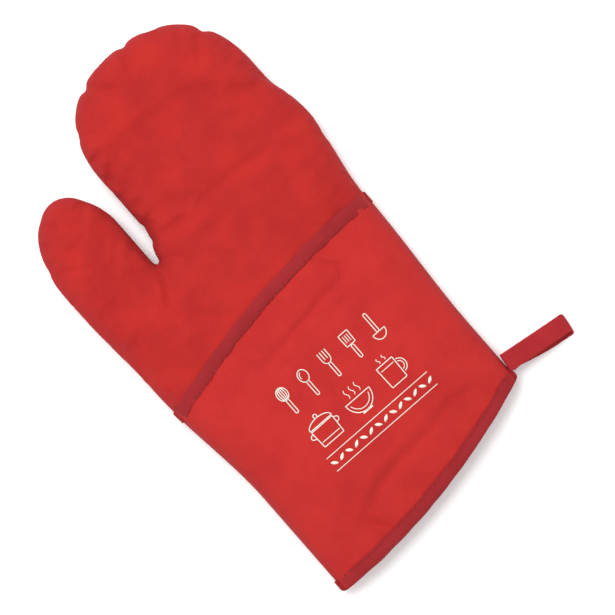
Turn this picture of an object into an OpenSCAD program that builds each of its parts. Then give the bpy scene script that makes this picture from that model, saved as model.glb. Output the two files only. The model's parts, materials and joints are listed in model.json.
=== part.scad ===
// An oven mitt lying flat: fingertips along +Y, thumb towards -X, +Z up.
// The origin is on the surface that it lies on, on the cuff's centre line, under the palm.
// Each padded wall is a shell, a batting and a lining, in a front half and a back half that meet
// at the side seam. One rule gives every surface: from the seam the pad rises along a quarter of
// an ellipse to a flat middle, and each layer lies a stated depth inside the shell's outer face.

/* [Cuff] */
// Width of the cuff from side seam to side seam
cuff_w = 160; // [135:1:185]
// Length from the origin down to the middle of the hem's chord
cuff_len = 117; // [95:1:140]
// Rise of the hem from the thumb side to the far side
hem_slant = 28; // [0:1:40]
// How far the hem bows out below its chord
hem_bow = 8; // [0:1:15]
// How much further out the seam is at the thumb's root than at the cuff
thumb_flare = 8; // [2:1:12]
// How much further out the far seam is at the wrist than at the cuff
wrist_flare = 4; // [0:1:10]
// Height of the wrist, where the far seam starts to widen
wrist_y = 38; // [20:1:60]

/* [Hand] */
// Width across the knuckles, thumb included
hand_w = 182; // [165:1:210]
// Height of the knuckle line, where the fingers bend
knuckle_y = 99; // [97:1:120]
// Length of the finger lobe above the knuckle line
finger_len = 104; // [85:1:125]
// Distance of the fingertip's highest point from the centre line
finger_tip_x = 25; // [10:1:35]
// How much the finger lobe narrows before its rounded end
finger_taper = 5; // [0:1:10]
// Length of the rounded end on the thumb side
tip_round_near = 53; // [35:1:65]
// Length of the rounded end on the far side
tip_round_far = 63; // [40:1:75]

/* [Thumb] */
// Width of the thumb lobe
thumb_w = 53; // [44:1:60]
// Length of the thumb above the notch between it and the fingers
thumb_len = 69; // [58:1:85]
// Height of the thumb's root on the side seam
thumb_root_y = 37; // [25:1:45]
// Distance of the thumb's highest point from its outer seam
thumb_tip_in = 30; // [22:1:36]
// Length of the thumb's rounded end on its outer side
thumb_round_out = 49; // [35:1:55]
// Length of the thumb's rounded end on its inner side
thumb_round_in = 37; // [30:1:50]
// Height of the bottom of the notch between thumb and fingers
notch_y = 90; // [84:1:92]
// Radius of the bottom of the notch
notch_r = 2; // [1:0.5:2.5]
// Width of the gap between the thumb and the finger lobe
notch_w = 9.5; // [6:0.5:16]

/* [Padding] */
// Height of the side seam above the surface
seam_z = 12; // [10:0.5:16]
// Rise of the front of the pad above the side seam
pad_rise = 14; // [11:0.5:18]
// Rise of the front of the pad above the side seam at the cuff's mouth
mouth_rise = 6; // [5:0.5:9]
// Distance from the seam over which the pad rises
pad_round = 30; // [22:1:36]
// Thickness of the outer fabric
shell_t = 0.7; // [0.4:0.1:1.2]
// Thickness of the batting
batting_t = 5; // [3:0.5:6]
// Thickness to which the hem squeezes the batting
batting_hem_t = 2; // [1:0.5:3]
// Thickness of the lining
lining_t = 0.6; // [0.3:0.1:1]
// Space between two layers
layer_gap = 0.15; // [0.1:0.05:0.2]

/* [Bindings] */
// Width of the binding round the cuff's mouth
hem_w = 8.5; // [6:0.5:12]
// Thickness of the binding round the cuff's mouth
hem_t = 0.8; // [0.5:0.1:1.2]
// Distance from the mouth to the line of stitches
hem_stitch_in = 7.2; // [4:0.1:7.5]
// Height of the pocket's edge at the thumb side's seam
pocket_near_y = 17; // [0:1:22]
// Height of the pocket's edge at the far seam
pocket_far_y = 42; // [10:1:46]
// How far the pocket's edge bows out above the line between its ends
pocket_bow = 7.5; // [0:0.5:10]
// Thickness of the pocket panel
panel_t = 0.6; // [0.4:0.1:1]
// Width of the binding along the pocket's edge
pocket_binding_w = 8.5; // [5:0.5:12]
// Thickness of the binding along the pocket's edge
pocket_binding_t = 0.6; // [0.4:0.1:1]
// Distance from the pocket's edge to its line of stitches
pocket_stitch_in = 7.2; // [3:0.1:7.5]

/* [Stitches] */
// Length of one stitch
stitch_len = 2.4; // [1.5:0.1:3.5]
// Distance from one stitch to the next
stitch_pitch = 3.6; // [2.5:0.1:6]
// Thickness of the thread
thread_d = 0.6; // [0.3:0.1:1]
// How deep the thread sinks into the fabric
thread_sink = 0.2; // [0.1:0.05:0.3]

/* [Hanging loop] */
// Width of the tape
tape_w = 12; // [8:0.5:16]
// Thickness of the tape
tape_t = 1.2; // [0.8:0.1:1.6]
// Length of the loop beyond its pivot
loop_len = 39; // [30:1:60]
// Half the height of the loop between the middles of its two legs
loop_rise = 5.2; // [4.5:0.1:6.5]
// Angle by which the loop leans towards the hem
loop_lean = 7.5; // [0:0.5:12]
// Height of the tape's middle above the mouth's far corner
loop_up = 11; // [8:0.5:30]
// Length of the sewn block that holds the tape's ends
bartack_len = 3; // [2:0.5:5]

/* [Joints] */
// Space between the parts on the two sides of a bend
joint_gap = 0.6; // [0.5:0.1:1]

/* [Hidden] */

// Colours of the fabrics
red = [0.76, 0.18, 0.18];
crimson = [0.69, 0.17, 0.22];
thread_red = [0.60, 0.12, 0.15];
wadding = [0.93, 0.92, 0.88];
cotton = [0.90, 0.86, 0.78];

// The two faces of the mitt
FRONT = 1;
BACK = -1;

// Numbers of grid steps: across a block, and along its parts
PALM_ACROSS = 14;
FINGER_ACROSS = 12;
THUMB_ACROSS = 10;
SIDE_STEPS = 8;
WALL_STEPS = 3;
NOTCH_STEPS = 3;
LOBE_STEPS = 4;
ARC_STEPS = 7;
PANEL_STEPS = 6;
LOOP_STEPS = 32;
// Stations across the cuff that are left free of stitches at each end of a binding
POCKET_FREE = 2;
HEM_FREE = 3;

// Roundness of the fingertip: 2 is an ellipse, more is squarer
tip_power = 2.3;
// The last angles of a rounded end, which leave a short straight edge at the very tip
tip_end_angle = 86;
thumb_end_angle = 80;
// Length over which the notch widens to its full width
notch_run = 20;
// Distance above the hem over which the padding reaches its full height
mouth_taper = 60;
// Distance above the hem over which the batting reaches its full thickness
batting_taper = 35;

hem_near_y = -cuff_len - hem_slant / 2;
hem_far_y = -cuff_len + hem_slant / 2;
finger_tip_y = knuckle_y + finger_len;
finger_near_x = -hand_w / 2 + thumb_w + notch_w;
finger_far_x = hand_w / 2 - finger_taper;
thumb_in_x = -hand_w / 2 + thumb_w;
thumb_tip_x = -hand_w / 2 + thumb_tip_in;
thumb_tip_y = notch_y + thumb_len;
notch_centre = [thumb_in_x + notch_r, notch_y + notch_r];
notch_top_y = notch_y + notch_run;

// The bend of the thumb: a line from its root on the side seam to the notch
root_point = [-cuff_w / 2 - thumb_flare, thumb_root_y];
bend = (notch_centre - root_point) / norm(notch_centre - root_point);
bend_normal = [-bend[1], bend[0]];
bend_angle = atan2(bend[1], bend[0]);

// Depths of the layers inside the shell's outer face: [fixed part, share of the batting]
SHELL = [[0, 0], [shell_t, 0]];
BATTING = [[shell_t + layer_gap, 0], [shell_t + layer_gap, 1]];
LINING = [[shell_t + 2 * layer_gap, 1], [shell_t + 2 * layer_gap + lining_t, 1]];
// Heights above the shell's outer face: the pocket binding's two legs with the panel between
under_leg = layer_gap + pocket_binding_t;
panel_low = under_leg + layer_gap;
panel_high = panel_low + panel_t;
over_leg_low = panel_high + layer_gap;
over_leg_high = over_leg_low + pocket_binding_t;
PANEL = [[-panel_high, 0], [-panel_low, 0]];
// The layers start this far above the mouth, inside the fold of the hem binding
inside_hem = hem_t + layer_gap;
// The mitt rests on the stitches and the back, so the binding and its stitches lift the mouth
hem_lift = hem_t + layer_gap + thread_d - thread_sink;

// Ease from 0 to 1 as k goes from 0 to 1, level at both ends
function ease(k) = let (c = max(0, min(1, k))) c * c * (3 - 2 * c);

function mix(a, b, k) = a + (b - a) * k;

// Eased value at y on a list of [y, value] stations
function along(stations, y, i = 0) =
    y <= stations[i][0] || i == len(stations) - 1 ? stations[i][1] :
    y <= stations[i + 1][0] ? mix(stations[i][1], stations[i + 1][1],
        ease((y - stations[i][0]) / (stations[i + 1][0] - stations[i][0]))) :
    along(stations, y, i + 1);

// The seams' distances from the centre line at height y
function near_x(y) = along([
    [-cuff_len / 2, -cuff_w / 2],
    [thumb_root_y, root_point[0]],
    [knuckle_y, -hand_w / 2]], y);
function far_x(y) = along([
    [-cuff_len / 2, cuff_w / 2],
    [wrist_y, cuff_w / 2 + wrist_flare],
    [knuckle_y, hand_w / 2],
    [finger_tip_y - tip_round_far, finger_far_x]], y);
function notch_x(y) = mix(notch_centre[0] + notch_r, finger_near_x,
    ease((y - notch_centre[1]) / (notch_top_y - notch_centre[1])));

// Height of the hem under x, and how far p is above it
function hem_y(x) = let (k = 2 * x / cuff_w)
    -cuff_len + hem_slant * k / 2 - hem_bow * (1 - k * k);
function above_hem(p) = p[1] - hem_y(p[0]);
function batting_at(w) = mix(batting_hem_t, batting_t, ease(w / batting_taper));
function depth(level, w) = level[0] + level[1] * batting_at(w);

// A quarter of a rounded end about centre c, with reaches a across and b up, as a list
function round_end(c, a, b, power, end_angle) = [
    for (i = [1 : ARC_STEPS])
        let (g = end_angle * i / ARC_STEPS)
        c + [a * pow(cos(g), 2 / power), b * pow(sin(g), 2 / power)]
];

// Height of row i of a side that starts at the mouth: row 1 is just above the hem binding, so that
// the layers follow the padding's rise inside it
function row_up(low, high, i, steps) =
    i == 0 ? low : mix(low + hem_w, high, (i - 1) / (steps - 1));

// The two edges of each block, row by row, for a layer at the given level. A bend's face lies at
// an offset from the bend, towards the block.
function on_bend(from_root, offset) = root_point + bend * from_root + bend_normal * offset;
function bend_start(t, offset) = on_bend(t / bend[0], offset);
function notch_point(t, angle) =
    notch_centre + (notch_r + t) * [cos(angle), sin(angle)];

function palm_near(level) = let (
        t = depth(level, thumb_root_y - hem_near_y),
        start = bend_start(t, -joint_gap / 2),
        finish = notch_point(t, bend_angle - 180) - bend_normal * joint_gap / 2,
        low = hem_near_y + inside_hem)
    [
        for (i = [0 : SIDE_STEPS - 1])
            let (y = row_up(low, start[1], i, SIDE_STEPS))
            [near_x(y) + depth(level, y - hem_near_y), y],
        for (i = [0 : WALL_STEPS]) mix(start, finish, i / WALL_STEPS),
        for (i = [1 : NOTCH_STEPS])
            notch_point(t, mix(bend_angle - 180, 0, i / NOTCH_STEPS)),
        [notch_x(knuckle_y) + t, knuckle_y - joint_gap / 2]
    ];
function palm_far(level) = let (
        low = hem_far_y + inside_hem,
        high = knuckle_y - joint_gap / 2,
        upper = WALL_STEPS + NOTCH_STEPS + 1,
        rows = [
            for (i = [0 : SIDE_STEPS]) row_up(low, wrist_y, i, SIDE_STEPS),
            for (i = [1 : upper]) mix(wrist_y, high, i / upper)
        ])
    [for (y = rows) [far_x(y) - depth(level, y - hem_far_y), y]];

function finger_near(level) = let (
        t = depth(level, mouth_taper),
        low = knuckle_y + joint_gap / 2,
        high = finger_tip_y - tip_round_near,
        a = finger_tip_x - finger_near_x - t)
    [
        for (i = [0 : LOBE_STEPS])
            let (y = mix(low, high, i / LOBE_STEPS)) [notch_x(y) + t, y],
        each round_end([finger_tip_x, high], -a, tip_round_near - t, tip_power, tip_end_angle)
    ];
function finger_far(level) = let (
        t = depth(level, mouth_taper),
        low = knuckle_y + joint_gap / 2,
        high = finger_tip_y - tip_round_far,
        a = finger_far_x - finger_tip_x - t)
    [
        for (i = [0 : LOBE_STEPS])
            let (y = mix(low, high, i / LOBE_STEPS)) [far_x(y) - t, y],
        each round_end([finger_tip_x, high], a, tip_round_far - t, tip_power, tip_end_angle)
    ];

function thumb_near(level) = let (
        t = depth(level, mouth_taper),
        start = bend_start(t, joint_gap / 2),
        high = thumb_tip_y - thumb_round_out)
    [
        start,
        for (i = [1 : LOBE_STEPS])
            let (y = mix(start[1], high, i / LOBE_STEPS)) [near_x(y) + t, y],
        each round_end([thumb_tip_x, high], t - thumb_tip_in, thumb_round_out - t, 2,
            thumb_end_angle)
    ];
function thumb_far(level) = let (
        t = depth(level, mouth_taper),
        high = thumb_tip_y - thumb_round_in,
        a = thumb_in_x - thumb_tip_x - t)
    [
        notch_point(t, bend_angle - 180) + bend_normal * joint_gap / 2,
        notch_point(t, (bend_angle - 360) / 2),
        for (i = [0 : LOBE_STEPS - 2])
            [thumb_in_x - t, mix(notch_centre[1], high, i / (LOBE_STEPS - 2))],
        each round_end([thumb_tip_x, high], a, thumb_round_in - t, 2, thumb_end_angle)
    ];

// The side seam, as the lines from which the padding rises. They start below the mouth, so that
// its edge isn't taken for a seam.
OUTER = SHELL[0];
reach = 20;
seam_lines = [
    concat([[cuff_w / 2, hem_far_y - reach]], palm_far(OUTER), finger_far(OUTER)),
    concat([for (p = finger_near(OUTER)) p], [finger_far(OUTER)[LOBE_STEPS + ARC_STEPS]]),
    concat([[-cuff_w / 2, hem_near_y - reach]],
        [for (i = [0 : SIDE_STEPS]) palm_near(OUTER)[i]], thumb_near(OUTER)),
    concat([for (i = [SIDE_STEPS + WALL_STEPS : SIDE_STEPS + WALL_STEPS + NOTCH_STEPS + 1])
        palm_near(OUTER)[i]], [finger_near(OUTER)[0]]),
    concat(thumb_far(OUTER), [thumb_near(OUTER)[LOBE_STEPS + ARC_STEPS]])
];
function to_segment(p, a, b) =
    let (k = max(0, min(1, ((p - a) * (b - a)) / ((b - a) * (b - a))))) norm(p - a - k * (b - a));
function from_seam(p) = min([
    for (line = seam_lines) for (i = [1 : len(line) - 1]) to_segment(p, line[i - 1], line[i])
]);

// Share of the full height at distance d inside a layer's edge, over a round of radius r
function swell(d, r) = d <= 0 ? 0 : d >= r ? 1 : sqrt(1 - pow(1 - d / r, 2));
function height(face, w) = face == FRONT ?
    mix(mouth_rise, pad_rise, ease(w / mouth_taper)) :
    seam_z - hem_lift * (1 - ease((w - hem_w) / batting_taper));
function pad_z(p, t, face, on_rim) =
    seam_z + (on_rim ? 0 : face * (height(face, above_hem(p)) - t)
        * swell(from_seam(p) - t, pad_round - t));

// Spacing across a block, closer near its two edges
function across(i, count) = (1 - cos(180 * i / count)) / 2;

// A grid of points from the two edges of a block. rims says which of its four sides lie on the
// seam: [near edge's rows, far edge, last row], where the near edge's rows are a list.
function block_grid(near, far, level, face, count, bow, rims) = let (last = len(near) - 1)
    [for (j = [0 : last]) for (i = [0 : count]) let (
            s = across(i, count),
            flat = mix(near[j], far[j], s) - [0, bow * 4 * s * (1 - s) * (1 - j / last)],
            rim = (i == 0 && rims[0][j]) || (i == count && rims[1]) || (j == last && rims[2]))
        [flat[0], flat[1], pad_z(flat, depth(level, above_hem(flat)), face, rim)]];

// Faces of a closed slab between two grids of rows by columns, the outer one listed first
function slab_faces(rows, columns, turned) = let (
        line = columns + 1,
        size = (rows + 1) * line,
        quads = [
            for (j = [0 : rows - 1]) for (i = [0 : columns - 1]) let (a = j * line + i)
                [a, a + line, a + line + 1, a + 1],
            for (j = [0 : rows - 1]) for (i = [0 : columns - 1]) let (a = size + j * line + i)
                [a, a + 1, a + line + 1, a + line],
            for (i = [0 : columns - 1]) let (a = i) [a, a + 1, size + a + 1, size + a],
            for (i = [0 : columns - 1]) let (a = rows * line + i)
                [a + 1, a, size + a, size + a + 1],
            for (j = [0 : rows - 1]) let (a = j * line)
                [a + line, a, size + a, size + a + line],
            for (j = [0 : rows - 1]) let (a = j * line + columns)
                [a, a + line, size + a + line, size + a]
        ])
    [for (q = quads) each turned ?
        [[q[0], q[2], q[1]], [q[0], q[3], q[2]]] : [[q[0], q[1], q[3]], [q[1], q[2], q[3]]]];

module slab(outer, inner, rows, columns, turned) {
    polyhedron(concat(outer, inner), slab_faces(rows, columns, turned), convexity = 6);
}

// Rows of the palm's near edge that lie on the seam: all but those inside the thumb's bend
palm_rims = [[for (j = [0 : SIDE_STEPS + WALL_STEPS + NOTCH_STEPS + 1])
    j <= SIDE_STEPS || j >= SIDE_STEPS + WALL_STEPS], true, false];
lobe_rims = [[for (j = [0 : LOBE_STEPS + ARC_STEPS]) true], true, true];

module palm_layer(layer, face) {
    grids = [for (level = layer) block_grid(palm_near(level), palm_far(level), level, face,
        PALM_ACROSS, hem_bow, palm_rims)];
    slab(grids[0], grids[1], SIDE_STEPS + WALL_STEPS + NOTCH_STEPS + 1, PALM_ACROSS,
        face == BACK);
}

module finger_layer(layer, face) {
    grids = [for (level = layer) block_grid(finger_near(level), finger_far(level), level, face,
        FINGER_ACROSS, 0, lobe_rims)];
    slab(grids[0], grids[1], LOBE_STEPS + ARC_STEPS, FINGER_ACROSS, face == BACK);
}

module thumb_layer(layer, face) {
    grids = [for (level = layer) block_grid(thumb_near(level), thumb_far(level), level, face,
        THUMB_ACROSS, 0, lobe_rims)];
    slab(grids[0], grids[1], LOBE_STEPS + ARC_STEPS, THUMB_ACROSS, face == BACK);
}

module palm_front_shell() { color(red) palm_layer(SHELL, FRONT); }
module palm_front_batting() { color(wadding) palm_layer(BATTING, FRONT); }
module palm_front_lining() { color(cotton) palm_layer(LINING, FRONT); }
module palm_back_shell() { color(red) palm_layer(SHELL, BACK); }
module palm_back_batting() { color(wadding) palm_layer(BATTING, BACK); }
module palm_back_lining() { color(cotton) palm_layer(LINING, BACK); }

module finger_front_shell() { color(red) finger_layer(SHELL, FRONT); }
module finger_front_batting() { color(wadding) finger_layer(BATTING, FRONT); }
module finger_front_lining() { color(cotton) finger_layer(LINING, FRONT); }
module finger_back_shell() { color(red) finger_layer(SHELL, BACK); }
module finger_back_batting() { color(wadding) finger_layer(BATTING, BACK); }
module finger_back_lining() { color(cotton) finger_layer(LINING, BACK); }

module thumb_front_shell() { color(red) thumb_layer(SHELL, FRONT); }
module thumb_front_batting() { color(wadding) thumb_layer(BATTING, FRONT); }
module thumb_front_lining() { color(cotton) thumb_layer(LINING, FRONT); }
module thumb_back_shell() { color(red) thumb_layer(SHELL, BACK); }
module thumb_back_batting() { color(wadding) thumb_layer(BATTING, BACK); }
module thumb_back_lining() { color(cotton) thumb_layer(LINING, BACK); }

// A point on the cuff at share s across, a height y and a depth t inside the shell's face
function cuff_point(s, y, t, face) = let (
        flat = [mix(near_x(y) + t, far_x(y) - t, s), y],
        rim = s <= 0 || s >= 1)
    [flat[0], flat[1], pad_z(flat, t, face, rim)];
function hem_at(s) = hem_y(mix(-cuff_w / 2, cuff_w / 2, s));
function pocket_y(s) = mix(pocket_near_y, pocket_far_y, s) + pocket_bow * 4 * s * (1 - s);

// The panel runs from inside the hem binding to the fold of its own binding
module pocket_panel() {
    grids = [for (level = PANEL) [
        for (j = [0 : PANEL_STEPS]) for (i = [0 : PALM_ACROSS]) let (
                s = across(i, PALM_ACROSS),
                low = hem_at(s) + inside_hem,
                high = pocket_y(s) - pocket_binding_t - layer_gap)
            cuff_point(s, row_up(low, high, j, PANEL_STEPS), level[0], FRONT)]];
    color(red) slab(grids[0], grids[1], PANEL_STEPS, PALM_ACROSS, false);
}

// Faces of a folded strip: eight points at each station, joined in a ring where it is closed
function fold_faces(stations, closed) = [
    for (j = [0 : stations - (closed ? 1 : 2)]) for (k = [0 : 7]) let (
            a = j * 8 + k,
            b = j * 8 + (k + 1) % 8,
            next = ((j + 1) % stations - j) * 8)
        each [[a, b, b + next], [a, b + next, a + next]],
    if (!closed) for (end = [0, stations - 1]) for (q = [[0, 1, 6, 7], [1, 2, 5, 6], [2, 3, 4, 5]])
        [for (k = end == 0 ? [3, 2, 1, 0] : [0, 1, 2, 3]) end * 8 + q[k]]
];

// The folded strip over the pocket's edge, from seam to seam
module pocket_binding() {
    points = [for (i = [0 : PALM_ACROSS]) let (
            s = across(i, PALM_ACROSS),
            top = pocket_y(s),
            fold = top - pocket_binding_t,
            foot = top - pocket_binding_w)
        each [
            cuff_point(s, foot, -over_leg_high, FRONT),
            cuff_point(s, top, -over_leg_high, FRONT),
            cuff_point(s, top, -layer_gap, FRONT),
            cuff_point(s, foot, -layer_gap, FRONT),
            cuff_point(s, foot, -under_leg, FRONT),
            cuff_point(s, fold, -under_leg, FRONT),
            cuff_point(s, fold, -over_leg_low, FRONT),
            cuff_point(s, foot, -over_leg_low, FRONT)
        ]];
    color(crimson) polyhedron(points, fold_faces(PALM_ACROSS + 1, false), convexity = 6);
}

// Depth of the hem binding's outer leg: over the panel in front, closer to the shell behind
function hem_over(s, y, face) = let (flat = [mix(near_x(y), far_x(y), s), y])
    -layer_gap - (face == FRONT ? panel_high :
        panel_high * (1 - swell(from_seam(flat), pad_round)));
function hem_under(s, y) =
    depth(LINING[1], y - hem_at(s)) + layer_gap;

// The folded strip round the mouth, along the front and back along the back
module hem_binding() {
    ring = [
        for (i = [0 : PALM_ACROSS - 1]) [across(i, PALM_ACROSS), FRONT],
        for (i = [0 : PALM_ACROSS - 1]) [across(PALM_ACROSS - i, PALM_ACROSS), BACK]
    ];
    points = [for (station = ring) let (
            s = station[0],
            face = s <= 0 || s >= 1 ? FRONT : station[1],
            low = hem_at(s),
            fold = low + hem_t,
            top = low + hem_w)
        each [
            cuff_point(s, top, hem_over(s, top, face) - hem_t, face),
            cuff_point(s, low, hem_over(s, low, face) - hem_t, face),
            cuff_point(s, low, hem_under(s, low) + hem_t, face),
            cuff_point(s, top, hem_under(s, top) + hem_t, face),
            cuff_point(s, top, hem_under(s, top), face),
            cuff_point(s, fold, hem_under(s, fold), face),
            cuff_point(s, fold, hem_over(s, fold, face), face),
            cuff_point(s, top, hem_over(s, top, face), face)
        ]];
    faces = fold_faces(len(ring), true);
    color(crimson) polyhedron(points, [for (f = faces) [f[2], f[1], f[0]]], convexity = 6);
}

// Stitches along a line of points, as many as fit between each point and the next
module stitches(line) {
    for (i = [1 : len(line) - 1]) {
        step = line[i] - line[i - 1];
        count = floor(norm(step) / stitch_pitch);
        for (k = [0 : 1 : count - 1])
            translate(line[i - 1] + step * (k + 0.5) / count)
                rotate([0, -asin(step[2] / norm(step)), atan2(step[1], step[0])])
                    cube([stitch_len, thread_d, thread_d], center = true);
    }
}

// A line of points for stitches on a strip's outer leg: y and depth are lists by station
function stitch_line(first, last, face, rows, depths) = [for (i = [first : last])
    let (s = across(i, PALM_ACROSS))
    cuff_point(s, rows[i], depths[i], face) + [0, 0, face * (thread_d / 2 - thread_sink)]];

stations = [for (i = [0 : PALM_ACROSS]) across(i, PALM_ACROSS)];

module pocket_stitching() {
    rows = [for (s = stations) pocket_y(s) - pocket_stitch_in];
    depths = [for (s = stations) -over_leg_high];
    color(thread_red) stitches(
        stitch_line(POCKET_FREE, PALM_ACROSS - POCKET_FREE, FRONT, rows, depths));
}

module hem_stitching() {
    rows = [for (s = stations) hem_at(s) + hem_stitch_in];
    for (face = [FRONT, BACK]) {
        depths = [for (i = [0 : PALM_ACROSS]) hem_over(stations[i], rows[i], face) - hem_t];
        color(thread_red) stitches(
            stitch_line(HEM_FREE, PALM_ACROSS - HEM_FREE, face, rows, depths));
    }
}

// The sewn block lies just outside the hem binding at the far seam, with the pivot beyond it
bartack_h = 2 * tape_t + 2 * layer_gap;
knuckle_r = tape_t;
loop_y = hem_far_y + loop_up;
block_x = cuff_w / 2 + panel_high + hem_t + 2 * layer_gap;
// The loop's hinge, far enough out for the knuckle's leaning corner to clear the sewn block
pivot_x = block_x + bartack_len + knuckle_r + tape_w / 2 * sin(loop_lean) + joint_gap;
// The tape starts inside the knuckle, and its legs come apart where the eye starts
start_angle = 15;
eye_angle = 40;

// The middle line of the tape: pinched at the pivot and round at the far end
function loop_middle(g) = let (k = (1 - cos(g)) / 2)
    [loop_len * k, loop_rise * sin(g) * sqrt(k)];
function loop_side(g, offset) = let (
        step = loop_middle(min(g + 1, 359)) - loop_middle(max(g - 1, 1)),
        out = [-step[1], step[0]] / norm(step))
    loop_middle(g) + out * offset;

// The loop droops until the first point of its under leg comes down to the surface
loop_droop = min([for (g = [90 : 5 : 175]) let (p = loop_side(g, tape_t / 2))
    asin(min(1, (seam_z - layer_gap) / norm(p))) - atan2(p[1], p[0])]);

module hanging_loop() {
    outside = [for (i = [0 : LOOP_STEPS])
        loop_side(mix(start_angle, 360 - start_angle, i / LOOP_STEPS), tape_t / 2)];
    eye = [for (i = [0 : LOOP_STEPS])
        loop_side(mix(eye_angle, 360 - eye_angle, i / LOOP_STEPS), -tape_t / 2)];
    color(crimson)
        translate([pivot_x, loop_y, seam_z])
            rotate([0, loop_droop, -loop_lean])
                rotate([90, 0, 0]) {
                    linear_extrude(tape_w, center = true) difference() {
                        polygon(outside);
                        polygon(eye);
                    }
                    cylinder(h = tape_w, r = knuckle_r, center = true, $fn = LOOP_STEPS);
                }
}

module loop_bartack() {
    color(thread_red)
        translate([block_x, loop_y - tape_w / 2, seam_z - bartack_h / 2])
            cube([bartack_len, tape_w, bartack_h]);
}

palm_front_shell();
palm_front_batting();
palm_front_lining();
palm_back_shell();
palm_back_batting();
palm_back_lining();
finger_front_shell();
finger_front_batting();
finger_front_lining();
finger_back_shell();
finger_back_batting();
finger_back_lining();
thumb_front_shell();
thumb_front_batting();
thumb_front_lining();
thumb_back_shell();
thumb_back_batting();
thumb_back_lining();
pocket_panel();
pocket_binding();
pocket_stitching();
hem_binding();
hem_stitching();
hanging_loop();
loop_bartack();
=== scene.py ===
# %% [markdown]
# # A padded oven mitt in red cotton
# The mitt lies flat with its fingertips along +Y, its thumb towards -X and +Z up.
# It is made of the same pieces as a sewn one: an outer shell, batting, a lining, a pocket
# panel on the cuff, two folded bindings, rows of stitches and a hanging loop of tape.
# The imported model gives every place; this script only adds the cloth.

# %% Load the frame
import json
import math

import bpy
import numpy as np
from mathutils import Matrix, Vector, geometry


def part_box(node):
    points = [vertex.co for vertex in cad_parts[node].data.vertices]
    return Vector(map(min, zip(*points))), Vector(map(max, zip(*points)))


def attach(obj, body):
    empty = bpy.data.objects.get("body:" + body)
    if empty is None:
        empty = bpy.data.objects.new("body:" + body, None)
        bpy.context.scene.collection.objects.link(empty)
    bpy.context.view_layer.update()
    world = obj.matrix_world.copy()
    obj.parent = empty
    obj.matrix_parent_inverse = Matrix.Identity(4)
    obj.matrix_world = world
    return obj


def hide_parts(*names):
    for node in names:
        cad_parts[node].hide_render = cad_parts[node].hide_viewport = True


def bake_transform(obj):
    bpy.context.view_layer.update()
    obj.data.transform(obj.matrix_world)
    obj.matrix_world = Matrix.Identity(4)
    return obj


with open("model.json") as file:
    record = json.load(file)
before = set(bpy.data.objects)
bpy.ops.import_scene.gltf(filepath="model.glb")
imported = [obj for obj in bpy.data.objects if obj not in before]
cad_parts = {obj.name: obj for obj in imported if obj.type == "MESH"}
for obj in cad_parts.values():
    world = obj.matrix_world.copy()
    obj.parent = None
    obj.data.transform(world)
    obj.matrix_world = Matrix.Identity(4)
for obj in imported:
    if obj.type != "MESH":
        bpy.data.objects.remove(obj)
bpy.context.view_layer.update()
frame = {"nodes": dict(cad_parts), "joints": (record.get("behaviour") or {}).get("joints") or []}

MM = 0.001
FRONT = 1
BACK = -1
print("pieces in the frame:", len(frame["nodes"]))

# %% [markdown]
# ## The pattern
# A sewn mitt starts as a paper pattern, so the first step is its outline. Heights come from the
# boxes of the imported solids, so the cloth sits where they are. The rest is the pattern's own
# numbers in millimetres. Straight stretches ease into each other, and the fingertip and the
# thumb's tip are rounded quarter curves.

# %% Heights and landmarks
palm_low, palm_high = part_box("palm_front_shell")
_, finger_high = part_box("finger_front_shell")
SEAM_Z = palm_low.z / MM
PAD_RISE = palm_high.z / MM - SEAM_Z
TIP_Y = finger_high.y / MM

# The cuff: the middle of its mouth, and half its width at the mouth and at the wrist
CUFF_Y = -117.0
CUFF_HALF = 80.0
WRIST_Y = 38.0
WRIST_HALF = 84.0
HEM_SLANT = 28.0
HEM_BOW = 8.0
HEM_NEAR_Y = CUFF_Y - HEM_SLANT / 2
HEM_FAR_Y = CUFF_Y + HEM_SLANT / 2
HEM_W = 8.5
POCKET_NEAR_Y = 17.0
POCKET_FAR_Y = 42.0
POCKET_BOW = 7.5

# The finger lobe: its sides, its highest point and the lengths of its rounded end
KNUCKLE_Y = 99.0
KNUCKLE_HALF = 91.0
LOBE_NEAR_X = -28.5
FINGER_FAR_X = 86.0
TIP_X = 25.0
TIP_ROUND_NEAR = 53.0
TIP_ROUND_FAR = 63.0
TIP_POWER = 2.3
TIP_NEAR = np.array([TIP_X, TIP_Y - TIP_ROUND_NEAR])
TIP_FAR = np.array([TIP_X, TIP_Y - TIP_ROUND_FAR])

# The thumb: its root, the notch beside it, the line where it bends and its rounded end
ROOT = np.array([-88.0, 37.0])
NOTCH = np.array([-36.0, 92.0])
NOTCH_R = 2.0
NOTCH_RUN = 18.0
BEND = (NOTCH - ROOT) / np.linalg.norm(NOTCH - ROOT)
ACROSS_BEND = np.array([-BEND[1], BEND[0]])
THUMB_ROUND_IN = 37.0
THUMB_ROUND_OUT = 49.0
THUMB_IN = np.array([-61.0, 122.0])
THUMB_OUT = np.array([-61.0, 110.0])
print(f"seam {SEAM_Z:.1f} mm up, pad {PAD_RISE:.1f} mm above it, fingertip at {TIP_Y:.1f} mm")


# %% Curves of the side seams
def ease(k):
    """0 to 1 as k goes from 0 to 1, level at both ends: 3k^2 - 2k^3."""
    k = np.clip(k, 0.0, 1.0)
    return k * k * (3 - 2 * k)


def mix(a, b, k):
    """The value a share k of the way from a to b."""
    return a + (b - a) * k


def along(stations, y):
    """Values at y on rows of (y, value), eased from each row to the next."""
    rows = np.array(stations)
    i = np.clip(np.searchsorted(rows[:, 0], y, side="right") - 1, 0, len(rows) - 2)
    k = (y - rows[i, 0]) / (rows[i + 1, 0] - rows[i, 0])
    return mix(rows[i, 1], rows[i + 1, 1], ease(k))


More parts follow.
